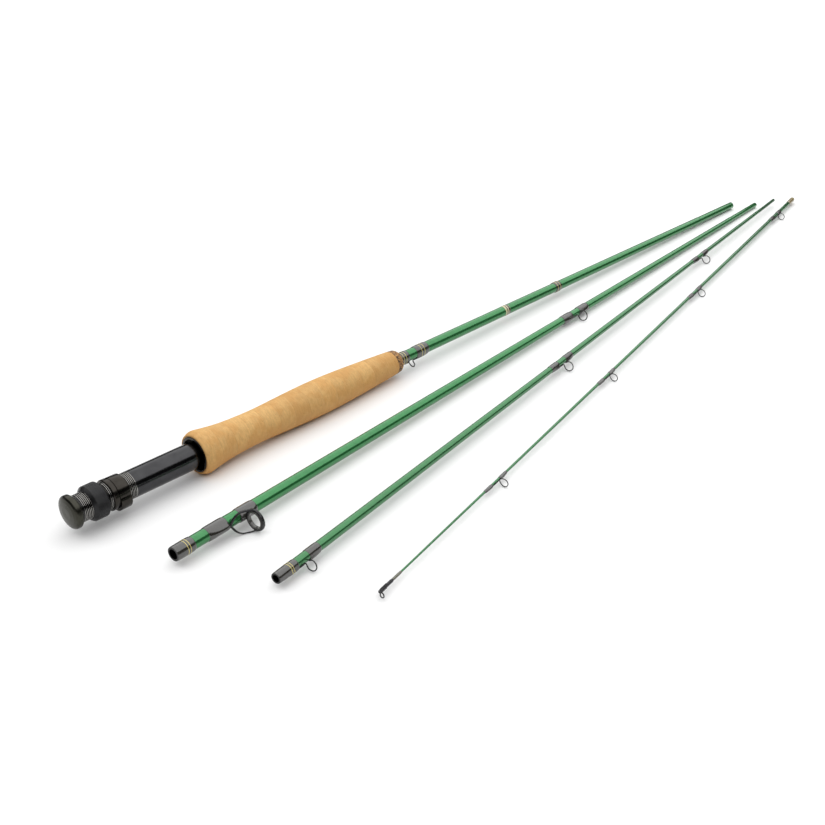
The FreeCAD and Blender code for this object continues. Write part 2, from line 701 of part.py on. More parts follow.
# ---------------------------------------------------------------- guides
def snake_wire(section, name, at, loop, rise, hand):
    """A snake guide: a long foot along the blank, one turn of wire standing off it, and a second foot.

    The turn leans towards the second foot, so the first foot runs on along the blank to meet it.
    Seen along the blank the turn is a circle of the loop radius; it climbs away from the foot on
    the side that the hand names, and comes down to the other foot on the opposite side.
    """
    wire = value(f"{section}_snake_wire")
    half = value(f"{section}_snake_gap") / 2 - 1.0
    lean = value("snake_lean")
    reach = value(f"{section}_snake_gap") / 2 + value(f"{section}_snake_foot")
    advance = value("snake_advance")
    start = lean - advance / 2 - value("snake_lead")
    near = number(skin(section, str(at - reach))) + wire + 0.03
    far = number(skin(section, str(at + reach))) + wire + 0.03
    slope = (far - near) / (2 * reach)
    base = (near + far) / 2
    centre = base + rise + loop
    along = Vector(1, -slope, 0)

    def foot(offset):
        return Vector(at + offset, -(base + slope * offset), 0)

    stops = [(foot(start), along)]
    for degrees in (70, 125, 180, 235, 290):
        angle = math.radians(degrees)
        stops.append((
            Vector(
                at + lean + advance * (degrees / 360 - 0.5),
                -(centre - loop * math.cos(angle)),
                hand * loop * math.sin(angle),
            ),
            Vector(advance / (2 * math.pi), -loop * math.sin(angle), hand * loop * math.cos(angle)),
        ))
    stops.append((foot(half), along))
    edges = [Part.makeLine(foot(-reach), foot(start))]
    edges += arcs_through(stops)
    edges.append(Part.makeLine(foot(half), foot(reach)))
    return swept(name + "_wire", edges, wire)


def make_snake(section, name, at, loop, rise):
    """One snake guide with the wraps over its feet; returns the two wraps."""
    hand = 1 if section == "tip" else -1
    wire = snake_wire(section, name, at, loop, rise, hand)
    surface = surface_of(section)
    thickness = "dims.wrap_thickness" if section == "second" else "dims.thin_wrap"
    gap = f"dims.{section}_snake_gap / 2"
    reach = f"{gap} + dims.{section}_snake_wrap"
    rear_end = "0" if name == MOUTH_GUIDE else f"{at} - ({reach})"
    wraps = [
        covered(
            f"{name}_wrap_{index + 1}", surface, outer, inner, f"dims.{section}_snake_wire",
            "dims.snake_cover", wire, thickness,
        )
        for index, (outer, inner) in enumerate((
            (rear_end, f"{at} - {gap}"), (f"{at} + ({reach})", f"{at} + {gap}"),
        ))
    ]
    finish(group(name + "_group", [wire]), name, section)
    return wraps


def make_guides():
    """All the snake guides, and each section's guide wraps as one group."""
    wraps = {"second": [], "third": [], "tip": []}
    for section, name, at, loop, rise in SNAKES:
        wraps[section] += make_snake(section, name, at, loop, rise)
    return wraps


def foot_plate(name, wide_end, tip_end):
    """A guide's flat foot, tapering along the blank from its wide end to its tip."""
    body = doc.addObject("PartDesign::Body", name)
    wide = "dims.stripper_foot_width / 2"
    tip = "dims.stripper_foot_tip / 2"
    sketch = profile_sketch(body, name + "_outline", [
        (wide_end, f"-{wide}"), (tip_end, f"-{tip}"), (tip_end, tip), (wide_end, wide),
    ], "XZ_Plane")
    pad = body.newObject("PartDesign::Pad", name + "_pad")
    pad.Profile = sketch
    pad.setExpression("Length", "dims.stripper_foot_thick")
    body.Tip = pad
    body.setExpression("Placement.Base.y", f"-({skin('second', wide_end)} + 0.03)")
    return body


def stripper_leg(name, side):
    """One of the two bent rear legs, which spread wide from the foot and meet the ring at its side."""
    foot = value("stripper_rear_end") + 0.6
    height = number(skin("second", "dims.stripper_rear_end")) + value("stripper_foot_thick") / 2 + 0.1
    ring = value("stripper_at")
    spread = value("stripper_spread")
    rise = value("stripper_height") - height
    run = ring - foot
    stops = [
        (Vector(foot, -height, side * 0.5), Vector(1, -0.5, side * 1.3)),
        (Vector(foot + run * 0.2, -height - rise * 0.17, side * spread * 0.64), Vector(1, -0.6, side * 1.3)),
        (Vector(foot + run * 0.54, -height - rise * 0.5, side * spread), Vector(1, -0.6, 0)),
        (Vector(ring, -height - rise, side * (value("stripper_radius") - 0.4)), Vector(1, -0.55, side * -0.42)),
    ]
    return swept(name, arcs_through(stops), value("stripper_wire"))


def make_stripping_guide():
    """Double-foot stripping guide: ring frame on two rear legs and a front strut, ceramic ring, wraps."""
    at = "dims.stripper_at"
    height = "dims.stripper_height"
    ring = cut(
        "stripper_ring",
        cylinder(
            "stripper_ring_disc", f"{at} - dims.stripper_width / 2", "dims.stripper_radius",
            "dims.stripper_width", height,
        ),
        cylinder(
            "stripper_ring_seat", f"{at} - dims.stripper_width", "dims.stripper_seat",
            "dims.stripper_width * 2", height,
        ),
    )
    strut = doc.addObject("Part::Wedge", "stripper_strut")
    low = f"{skin('second', at)} + dims.stripper_foot_thick * 0.6"
    high = f"{height} - dims.stripper_radius + 0.8"
    for side, expression in {
        "Xmin": "dims.stripper_front_start + 0.8", "X2min": "dims.stripper_front_start - 0.6",
        "Xmax": f"{at} + dims.stripper_width / 2", "X2max": f"{at} + dims.stripper_width / 2",
        "Ymin": f"-({high})", "Ymax": f"-({low})",
        "Zmin": "-dims.stripper_foot_tip", "Z2min": "-dims.stripper_foot_width / 2",
        "Zmax": "dims.stripper_foot_tip", "Z2max": "dims.stripper_foot_width / 2",
    }.items():
        strut.setExpression(side, expression)
    frame = fused("stripper_frame", [
        ring,
        foot_plate("stripper_rear_foot", "dims.stripper_rear_end + 0.6", "dims.stripper_rear_start + 1.4"),
        foot_plate("stripper_front_foot", "dims.stripper_front_start - 0.6", "dims.stripper_front_end - 1.4"),
        strut,
        stripper_leg("stripper_leg_1", 1),
        stripper_leg("stripper_leg_2", -1),
    ])
    core = cone("stripper_core", "10", skin("second", "10"), skin("second", "80"), "70")
    clear = cut("stripper_clear", frame, core)
    half = "dims.stripper_foot_thick / 2"
    wraps = [
        covered(
            f"stripper_wrap_{index + 1}", surface_of("second"), outer, inner, half,
            f"dims.stripper_cover - {half}", clear, swell=swell,
        )
        for index, (outer, inner, swell) in enumerate((
            ("dims.stripper_rear_start", "dims.stripper_rear_end", None),
            ("dims.stripper_front_end", "dims.stripper_front_start", "dims.stripper_front_swell"),
        ))
    ]
    finish(group("stripper_frame_group", [clear]), "stripping_guide_frame", "second")
    finish(group("stripper_wraps_group", wraps), "stripping_guide_wraps", "second")
    width = "dims.ceramic_width"
    blank_ring = cut(
        "ceramic_plain",
        cylinder("ceramic_disc", f"{at} - {width} / 2", "dims.stripper_seat", width, height),
        cylinder("ceramic_hole", f"{at} - {width}", "dims.ceramic_bore", f"{width} * 2", height),
    )
    doc.recompute()
    rounding = value("ceramic_rounding")
    rims = [
        (index + 1, rounding, rounding)
        for index, edge in enumerate(blank_ring.Shape.Edges)
        if isinstance(edge.Curve, Part.Circle) and abs(edge.Curve.Radius - value("ceramic_bore")) < 0.01
    ]
    ceramic = doc.addObject("Part::Fillet", "ceramic_round")
    ceramic.Base = blank_ring
    ceramic.Edges = rims
    finish(group("ceramic_group", [ceramic]), "stripping_guide_ring", "second")


# ---------------------------------------------------------------- ferrule wraps and tip-top
def make_mouth_wraps(guide_wraps):
    """The wrap at each female ferrule with its bright bands, and the guide wraps of each section."""
    second_surface = surface_of("second")
    wrap = revolved("second_mouth", wrap_outline(second_surface, "0", "dims.second_mouth_wrap"))
    grooved, bright = banded("second_mouth", wrap, second_surface, ("7.4", "9.2"))
    finish(group("second_mouth_group", [grooved]), "second_ferrule_wrap", "second")
    finish(group("second_bright", bright), "second_trim_bands", "second")
    finish(group("second_guide_wraps", guide_wraps["second"]), "second_guide_wraps", "second")

    third_surface = surface_of("third")
    rear = guide_wraps["third"].pop(0)
    grooved, bright = banded("third_mouth", rear, third_surface, ("9.6", "11.2"), "dims.thin_wrap")
    foot = doc.getObject("snake_guide_3_wire")
    finish(group("third_mouth_group", [grooved]), "third_ferrule_wrap", "third")
    finish(
        group("third_bright", [cut(f"third_bright_{n + 1}", band, foot) for n, band in enumerate(bright)]),
        "third_trim_bands", "third",
    )
    finish(group("third_guide_wraps", guide_wraps["third"]), "third_guide_wraps", "third")

    start = "dims.tip_length - dims.tip_mouth_wrap"
    wrap = revolved("tip_mouth", wrap_outline(mouth_skin, start, "dims.tip_length", "dims.thin_wrap"))
    station = "dims.tip_length - dims.wrap_ramp - dims.band_width"
    grooved, bright = banded("tip_mouth", wrap, mouth_skin, (station,), "dims.thin_wrap")
    finish(group("tip_mouth_group", [grooved]), "tip_ferrule_wrap", "tip")
    finish(group("tip_bright", bright), "tip_trim_band", "tip")
    finish(group("tip_guide_wraps", guide_wraps["tip"]), "tip_guide_wraps", "tip")


def make_tip_top():
    """Tip-top: a tube over the end of the blank, a pear-shaped wire loop, and the wrap behind it."""
    tube = revolved("top_tube", [
        ("dims.top_tube_start", "0"),
        ("dims.tip_blank_start", "0"),
        ("dims.tip_blank_start", skin("tip", "dims.tip_blank_start")),
        ("dims.top_tube_end", skin("tip", "dims.top_tube_end")),
        ("dims.top_tube_end", "dims.top_tube_radius * 0.9"),
        ("dims.top_tube_end - 1", "dims.top_tube_radius"),
        ("dims.top_tube_start + 0.6", "dims.top_tube_radius"),
        ("dims.top_tube_start", "dims.top_tube_radius * 0.75"),
    ])
    finish(tube, "tip_top_tube", "tip")
    wire = value("top_loop_wire")
    radius = value("top_loop_radius")
    middle = value("top_loop_at")
    height = value("top_loop_height")
    seat = value("top_tube_radius") + wire + 0.02
    rear = value("top_tube_start") + 7.0
    front = value("top_tube_start") + 1.4
    stops = [
        (Vector(rear, 0, seat), Vector(-1, 0, 0)),
        (Vector(front, 0, seat), Vector(-1, 0, 0)),
        (Vector(middle, -height, radius), Vector(-0.25, -1, 0.05)),
        (Vector(middle - 0.35, -height - radius, 0), Vector(0, 0, -1)),
        (Vector(middle, -height, -radius), Vector(0.25, 1, 0.05)),
        (Vector(front, 0, -seat), Vector(1, 0, 0)),
        (Vector(rear, 0, -seat), Vector(1, 0, 0)),
    ]
    edges = [Part.makeLine(stops[0][0], stops[1][0])]
    edges += arcs_through(stops[1:6])
    edges.append(Part.makeLine(stops[5][0], stops[6][0]))
    loop = swept("top_loop_wire_body", edges, wire)
    finish(group("top_loop_group", [loop]), "tip_top_loop", "tip")
    surface = surface_of("tip")
    wrap = revolved("top_wrap", wrap_outline(
        surface, "dims.top_tube_end", "dims.top_wrap_end", "dims.thin_wrap",
    ))
    finish(wrap, "tip_top_wrap", "tip")


# ---------------------------------------------------------------- building and writing
def write_steps():
    """Check every object, then write one STEP file for each node."""
    doc.recompute()
    for thing in doc.Objects:
        faults = [state for state in thing.State if state in ("Invalid", "Error")]
        if faults:
            raise RuntimeError(f"{thing.Name} is {faults}")
    os.makedirs("parts", exist_ok=True)
    for node in nodes:
        shape = node.Shape
        if shape.isNull() or not shape.isValid() or not shape.Solids:
            raise RuntimeError(f"{node.Label} has no valid solid")
        shape.exportStep(f"parts/{node.Label}.step")


fill_sheet()
make_cap()
make_barrel()
make_arbors()
make_lock_nut()
make_hood()
make_fore_hood()
make_grip()
make_butt_blank()
make_middle_blank("second", "ferrule_1_radius", "ferrule_1_length", "ferrule_2_radius", "ferrule_2_length")
make_middle_blank("third", "ferrule_2_radius", "ferrule_2_length", "ferrule_3_radius", "ferrule_3_length")
make_tip_blank()
make_butt_wraps()
make_stripping_guide()
make_mouth_wraps(make_guides())
make_tip_top()
write_steps()
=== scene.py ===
"""Looks of the fly rod: smooth surfaces for most pieces, their finishes, and a studio around them.

Lengths in the settings are metres.
"""
import json
import math

import bpy
import numpy as np
from mathutils import Matrix, Vector


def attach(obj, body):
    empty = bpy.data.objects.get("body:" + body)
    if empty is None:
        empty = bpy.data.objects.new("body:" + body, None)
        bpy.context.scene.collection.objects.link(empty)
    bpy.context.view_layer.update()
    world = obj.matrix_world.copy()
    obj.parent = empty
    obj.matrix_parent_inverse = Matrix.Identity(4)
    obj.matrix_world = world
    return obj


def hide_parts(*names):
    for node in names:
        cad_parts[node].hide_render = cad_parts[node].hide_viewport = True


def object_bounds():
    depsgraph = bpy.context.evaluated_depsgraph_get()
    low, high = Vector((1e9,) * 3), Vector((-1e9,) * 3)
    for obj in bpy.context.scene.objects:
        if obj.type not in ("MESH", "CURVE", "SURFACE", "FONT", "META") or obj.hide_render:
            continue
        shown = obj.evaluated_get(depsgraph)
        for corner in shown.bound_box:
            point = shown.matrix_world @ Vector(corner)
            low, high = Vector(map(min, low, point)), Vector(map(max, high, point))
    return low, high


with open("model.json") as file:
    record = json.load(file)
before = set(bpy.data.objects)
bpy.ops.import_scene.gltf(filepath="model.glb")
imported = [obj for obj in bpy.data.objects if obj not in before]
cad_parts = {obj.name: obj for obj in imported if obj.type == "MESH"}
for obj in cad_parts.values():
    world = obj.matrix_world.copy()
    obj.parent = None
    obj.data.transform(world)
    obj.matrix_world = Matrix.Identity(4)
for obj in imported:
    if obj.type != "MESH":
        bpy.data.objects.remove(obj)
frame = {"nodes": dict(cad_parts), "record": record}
CAD_BOX = [list(corner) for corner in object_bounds()]

bl_info = {
    "name": "Fly Rod",
    "version": (1, 0, 0),
    "blender": (4, 5, 0),
    "location": "View3D > Sidebar > Fly Rod",
    "description": "Builds the surfaces and finishes of a four-piece fly rod",
    "category": "Add Mesh",
}

MM = 0.001
MOUNTS = {mount["name"]: mount for mount in frame["record"]["mounts"]}


# ------------------------------------------------------------------ settings
def length(name, description, millimetres):
    """A length property, given in millimetres and kept in metres."""
    return bpy.props.FloatProperty(
        name=name, description=description, default=millimetres * MM, min=0.0,
        subtype="DISTANCE", unit="LENGTH", precision=5,
    )


def colour(name, description, red, green, blue):
    """A colour property in linear red, green and blue."""
    return bpy.props.FloatVectorProperty(
        name=name, description=description, default=(red, green, blue), size=3,
        min=0.0, max=1.0, subtype="COLOR",
    )


class BlankSettings(bpy.types.PropertyGroup):
    """Sizes and colour of the four blanks."""

    butt_thick: length("Butt thick end", "Outer radius of the butt blank in the reel seat", 5.0)
    butt_thin: length("Butt thin end", "Outer radius of the butt blank before its ferrule", 3.32)
    second_thick: length("Second thick end", "Outer radius at the second section's mouth", 4.4)
    second_thin: length("Second thin end", "Outer radius before the second section's ferrule", 2.36)
    third_thick: length("Third thick end", "Outer radius at the third section's mouth", 3.3)
    third_thin: length("Third thin end", "Outer radius before the third section's ferrule", 1.5)
    tip_thin: length("Tip thin end", "Outer radius under the tip-top", 0.62)
    tip_thick: length("Tip thick end", "Outer radius before the tip section's flare", 1.8)
    tip_mouth: length("Tip mouth", "Outer radius at the tip section's mouth", 2.02)
    lacquer: colour("Lacquer", "Green of the blanks' lacquer", 0.032, 0.205, 0.060)
    lacquer_far: colour("Lacquer, deep", "Darker green that shows along the blanks", 0.020, 0.115, 0.038)


class SeatSettings(bpy.types.PropertyGroup):
    """Sizes and colours of the reel seat."""

    barrel: length("Barrel", "Outer radius of the seat's barrel", 8.8)
    thread_pitch: length("Thread pitch", "Advance of a nut in one turn", 1.05)
    thread_depth: length("Thread depth", "Depth of the seat's thread", 0.5)
    metal: colour("Anodised black", "Colour of the seat's barrel", 0.045, 0.045, 0.047)
    hood_metal: colour("Warm black", "Colour of the hoods and the hood nut", 0.034, 0.031, 0.027)
    cap_metal: colour("Olive black", "Colour of the butt cap", 0.042, 0.041, 0.033)
    nut_metal: colour("Matt black", "Colour of the lock nut", 0.022, 0.022, 0.023)


class GripSettings(bpy.types.PropertyGroup):
    """Colours of the grip."""

    cork: colour("Cork", "Main colour of the cork", 0.57, 0.345, 0.130)
    cork_dark: colour("Cork, dark", "Colour of the cork's streaks and pits", 0.21, 0.095, 0.030)
    burl: colour("Burl", "Main colour of the burl ring", 0.20, 0.115, 0.055)


class FittingSettings(bpy.types.PropertyGroup):
    """Colours of the wraps, guides and bands."""

    thread: colour("Thread", "Colour of the thread wraps under their finish", 0.016, 0.015, 0.012)
    trim: colour("Trim", "Colour of the bright bands", 0.70, 0.60, 0.20)
    wire: colour("Guide wire", "Colour of the plated guides", 0.012, 0.012, 0.013)
    ceramic: colour("Ceramic", "Colour of the stripping guide's ring", 0.040, 0.038, 0.036)
    ink: colour("Band ink", "Light colour of the printed band", 0.62, 0.56, 0.34)


class StageSettings(bpy.types.PropertyGroup):
    """The camera, the lights and the floor."""

    lens: bpy.props.FloatProperty(
        name="Lens", description="Focal length of the camera, in millimetres of its sensor", default=57.28,
    )
    heading: bpy.props.FloatProperty(
        name="Heading", description="Direction the camera faces, from the X axis",
        default=math.radians(40.205), subtype="ANGLE",
    )
    dip: bpy.props.FloatProperty(
        name="Dip", description="How far the camera looks down",
        default=math.radians(28.44), subtype="ANGLE",
    )
    softbox: bpy.props.FloatProperty(
        name="Softbox", description="Power of the large light overhead", default=265.0,
        subtype="POWER", unit="POWER",
    )
    floor: colour("Floor", "Colour of the floor", 0.86, 0.86, 0.86)


SETTINGS = (BlankSettings, SeatSettings, GripSettings, FittingSettings, StageSettings)


def settings(kind):
    """The scene's settings of one kind."""
    return getattr(bpy.context.scene, "fly_rod_" + kind)


# ------------------------------------------------------------------ sections
def unit(vector):
    """A vector of length one."""
    return vector / np.linalg.norm(vector)


class Section:
    """Where one rod section lies: its first end, the line along it, and the side its guides stand on."""

    def __init__(self, mount, station, roll):
        fitting = MOUNTS[mount]
        self.along = unit(np.array(fitting["axis"], float))
        self.origin = np.array(fitting["pos_m"], float) - self.along * station * MM
        level = unit(np.cross(self.along, (0, 0, 1)))
        upright = np.cross(level, self.along)
        turn = math.radians(roll)
        self.guide = level * math.cos(turn) - upright * math.sin(turn)
        self.side = np.cross(self.guide, self.along)

    def place(self, station, out, across):
        """Row-frame points in metres, from millimetres along, towards the guides, and across."""
        station, out, across = np.broadcast_arrays(station, out, across)
        offset = (
            station[..., None] * self.along + out[..., None] * self.guide + across[..., None] * self.side
        )
        return self.origin + offset * MM


SECTIONS = {
    "butt": Section("butt_male_ferrule", 696.5, 45.0),
    "second": Section("second_male_ferrule", 699.0, 0.0),
    "third": Section("third_male_ferrule", 701.5, 20.0),
    "tip": Section("tip_female_ferrule", 699.0, 0.0),
}
BODIES = {"butt": "butt", "second": "section_2", "third": "section_3", "tip": "tip"}


def blank_radius(name, station):
    """Outer radius in millimetres of a section's blank: straight tapers between its named radii."""
    blank = settings("blank")
    stops = {
        "butt": ((13.0, blank.butt_thick), (668.0, blank.butt_thin)),
        "second": ((0.0, blank.second_thick), (674.0, blank.second_thin)),
        "third": ((0.0, blank.third_thick), (682.0, blank.third_thin)),
        "tip": ((6.0, blank.tip_thin), (690.0, blank.tip_thick), (719.0, blank.tip_mouth)),
    }[name]
    stations, radii = zip(*stops)
    return np.interp(station, stations, np.array(radii) / MM)


# ------------------------------------------------------------------ surfaces
def grid(points, looped):
    """Faces over a grid of points whose columns go round: (points, quads, end caps).

    Looped rows close on themselves like a ring; open rows end in flat caps. The faces are turned
    so that the volume they enclose, a sixth of the summed triple products, is positive.
    """
    rows, columns = points.shape[:2]
    index = np.arange(rows * columns).reshape(rows, columns)
    here = index if looped else index[:-1]
    beyond = np.roll(index, -1, axis=0) if looped else index[1:]
    quads = np.stack([here, np.roll(here, -1, 1), np.roll(beyond, -1, 1), beyond], -1).reshape(-1, 4)
    flat = points.reshape(-1, 3)
    centred = flat - flat.mean(0)
    a, b, c, d = (centred[quads[:, k]] for k in range(4))
    volume = (a * np.cross(b, c)).sum() + (a * np.cross(c, d)).sum()
    caps = [] if looped else [index[0][::-1], index[-1]]
    for cap in caps:
        fan = centred[cap]
        volume += (fan[0] * np.cross(fan[1:-1], fan[2:])).sum()
    if volume < 0:
        quads = quads[:, ::-1]
        caps = [cap[::-1] for cap in caps]
    return flat, quads, caps


def piece(name, parts, body, material, replaced, sharp=38.0):
    """One object from several grids, in place, smooth but for its sharp edges, and riding on a body."""
    points, faces, start = [], [], 0
    for flat, quads, caps in parts:
        points.append(flat)
        faces += (quads + start).tolist()
        faces += [(cap + start).tolist() for cap in caps]
        start += len(flat)
    mesh = bpy.data.meshes.new(name)
    mesh.from_pydata(np.concatenate(points).tolist(), [], faces)
    mesh.polygons.foreach_set("use_smooth", np.ones(len(faces), bool))
    mesh.set_sharp_from_angle(angle=math.radians(sharp))
    mesh.materials.append(material)
    thing = bpy.data.objects.new(name, mesh)
    bpy.context.scene.collection.objects.link(thing)
    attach(thing, body)
    if replaced:
        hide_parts(*replaced)
    return thing


def angles(segments):
    """Equal angles round a section, as a row; angle zero faces the guides."""
    return (np.arange(segments) * (2 * math.pi / segments))[None, :]


def around(name, stations, radii, segments=96, looped=True, centre=0.0):
    """Rings carried along a section: each row of radii, at its station, is one trip round the axis.

    centre moves the rings' axis towards the guide side, for a ring that stands off the blank.
    """
    angle = angles(segments)
    stations = np.asarray(stations, float).reshape(-1, 1)
    radii = np.asarray(radii, float)
    radii = radii.reshape(-1, 1) if radii.ndim == 1 else radii
    points = SECTIONS[name].place(
        stations, centre + radii * np.cos(angle), radii * np.sin(angle),
    )
    return grid(points, looped)


def softened(profile, rounding, steps=4):
    """A closed outline with each corner rounded: a parabola between points short of the corner."""
    corners = np.array(profile, float)
    before = np.roll(corners, 1, axis=0) - corners
    after = np.roll(corners, -1, axis=0) - corners
    reach_before = np.linalg.norm(before, axis=1, keepdims=True)
    reach_after = np.linalg.norm(after, axis=1, keepdims=True)
    cut = np.minimum(rounding, 0.45 * np.minimum(reach_before, reach_after))
    first = corners + before / reach_before * cut
    last = corners + after / reach_after * cut
    t = np.linspace(0, 1, steps + 1)[None, :, None]
    curve = (1 - t) ** 2 * first[:, None] + 2 * t * (1 - t) * corners[:, None] + t**2 * last[:, None]
    return curve.reshape(-1, 2)


def turned(name, profile, rounding=0.15, segments=96, centre=0.0):
    """A closed outline of (station, radius) turned about a section's axis, its corners softened."""
    outline = softened(profile, rounding)
    return around(name, outline[:, 0], outline[:, 1], segments, centre=centre)


def curve_through(points, directions, steps=14):
    """A smooth path: between neighbouring points, a cubic with the given directions at its ends."""
    points = np.array(points, float)
    heading = np.array(directions, float)
    heading /= np.linalg.norm(heading, axis=1, keepdims=True)
    chord = np.linalg.norm(np.diff(points, axis=0), axis=1)[:, None, None]
    t = (np.arange(steps) / steps)[None, :, None]
    p, q = points[:-1, None], points[1:, None]
    u, v = heading[:-1, None] * chord, heading[1:, None] * chord
    path = (
        (2 * t**3 - 3 * t**2 + 1) * p + (t**3 - 2 * t**2 + t) * u
        + (3 * t**2 - 2 * t**3) * q + (t**3 - t**2) * v
    )
    return np.concatenate([path.reshape(-1, 3), points[-1:]])


def rod(name, path, height, width, reference, sides=16):
    """An oval wire carried along a path of (station, out, across).

    At each point the section is an ellipse square to the path; its height lies along what is left
    of the reference direction once its part along the path is taken off.
    """
    path = np.asarray(path, float)
    tangent = np.gradient(path, axis=0)
    tangent /= np.linalg.norm(tangent, axis=1, keepdims=True)
    reference = np.broadcast_to(np.asarray(reference, float), path.shape)
    up = reference - (reference * tangent).sum(1, keepdims=True) * tangent
    up /= np.linalg.norm(up, axis=1, keepdims=True)
    sideways = np.cross(tangent, up)
    turn = angles(sides)[..., None]
    height = np.broadcast_to(height, len(path)).reshape(-1, 1, 1)
    width = np.broadcast_to(width, len(path)).reshape(-1, 1, 1)
    ring = path[:, None] + up[:, None] * np.cos(turn) * height + sideways[:, None] * np.sin(turn) * width
    points = SECTIONS[name].place(ring[..., 0], ring[..., 1], ring[..., 2])
    return grid(points, False)


def offset_circle(radius, offset, angle):
    """Distance from the axis to a circle whose centre stands off towards the guides."""
    inside = np.maximum(radius**2 - (offset * np.sin(angle)) ** 2, 0.0)
    return np.where(
        np.cos(angle) * offset + np.sqrt(inside) > 0, offset * np.cos(angle) + np.sqrt(inside), 0.0,
    ) * (radius > np.abs(offset * np.sin(angle)))


# ------------------------------------------------------------------ wraps
class Wrap:
    """A wrap of thread under its finish; foot says at which end a guide's foot comes out of it."""

    def __init__(self, section, start, end, thickness=0.42, foot=None, height=0.0, spread=1.0, bands=()):
        self.section = section
        self.start = start
        self.end = end
        self.thickness = thickness
        self.foot = foot
        self.height = height
        self.spread = spread
        self.bands = bands

    def radius(self, station, angle):
        """The blank's radius, plus a skin that rolls off at both ends, plus a swelling over the foot.

        The roll-off is the square root of one less the fifth power of the distance from the
        middle. The swelling is a bell curve round the blank that dies away along the foot.
        """
        base = blank_radius(self.section, station)
        middle = (2 * station - self.start - self.end) / (self.end - self.start)
        edge = np.sqrt(np.maximum(1 - np.abs(middle) ** 5, 0))
        skin = base + 0.03 + self.thickness * edge
        if not self.foot:
            return skin + 0 * angle
        from_guide = (self.end - station) if self.foot == "end" else (station - self.start)
        share = np.clip(from_guide / (self.end - self.start), 0, 1)
        fade = (1 - share**2.4) * np.sqrt(np.maximum(1 - np.abs(middle) ** 12, 0))
        turn = np.arctan2(np.sin(angle), np.cos(angle))
        bell = np.exp(-((turn * base / self.spread) ** 2))
        return skin + self.height * fade * bell

    def skin(self, rows=34, segments=72):
        """The wrap's closed surface: out over the finish and back along the blank."""
        share = np.linspace(0, math.pi, rows)
        station = self.start + (self.end - self.start) * (1 - np.cos(share)) / 2
        outer = self.radius(station[:, None], angles(segments))
        back = np.linspace(self.end, self.start, 6)
        inner = np.broadcast_to(blank_radius(self.section, back)[:, None] - 0.04, (6, segments))
        return around(self.section, np.concatenate([station, back]), np.concatenate([outer, inner]), segments)

    def bright(self, width=0.5, segments=72):
        """Rings of bright thread that follow the wrap's skin, each a low rounded ridge."""
        parts = []
        for band in self.bands:
            station = band + width * np.array([0.0, 0.04, 0.2, 0.5, 0.8, 0.96, 1.0])
            lift = np.array([-0.1, 0.02, 0.05, 0.06, 0.05, 0.02, -0.1])
            outer = self.radius(station[:, None], angles(segments)) + lift[:, None]
            parts.append(around(self.section, station, outer, segments))
        return parts


# ------------------------------------------------------------------ shader maths
class Number:
    """A shader value that takes part in Python arithmetic: each operation adds a Math node."""

    def __init__(self, finish, socket):
        self.finish = finish
        self.socket = socket

    def maths(self, operation, *others):
        """The result of a Math node on this value and others."""
        made = self.finish.node("ShaderNodeMath", {"operation": operation}, dict(enumerate((self, *others))))
        return Number(self.finish, made.outputs[0])

    def __add__(self, other):
        return self.maths("ADD", other)

    def __sub__(self, other):
        return self.maths("SUBTRACT", other)

    def __mul__(self, other):
        return self.maths("MULTIPLY", other)

    def __truediv__(self, other):
        return self.maths("DIVIDE", other)

    def __pow__(self, other):
        return self.maths("POWER", other)

    def __rsub__(self, other):
        return (self * -1.0).maths("ADD", other)

    __radd__ = __add__
    __rmul__ = __mul__

    def floor(self):
        """The whole number below."""
        return self.maths("FLOOR")

    def wrapped(self, size):
        """The remainder after whole steps of a size, always positive."""
        return self.maths("FLOORED_MODULO", size)

    def wave(self):
        """The sine."""
        return self.maths("SINE")

    def size(self):
        """The value without its sign."""
        return self.maths("ABSOLUTE")

    def step(self, low, high):
        """A smooth rise from 0 at low to 1 at high."""
        made = self.finish.node(
            "ShaderNodeMapRange", {"interpolation_type": "SMOOTHSTEP"},
            {"Value": self, "From Min": low, "From Max": high},
        )
        return Number(self.finish, made.outputs["Result"])


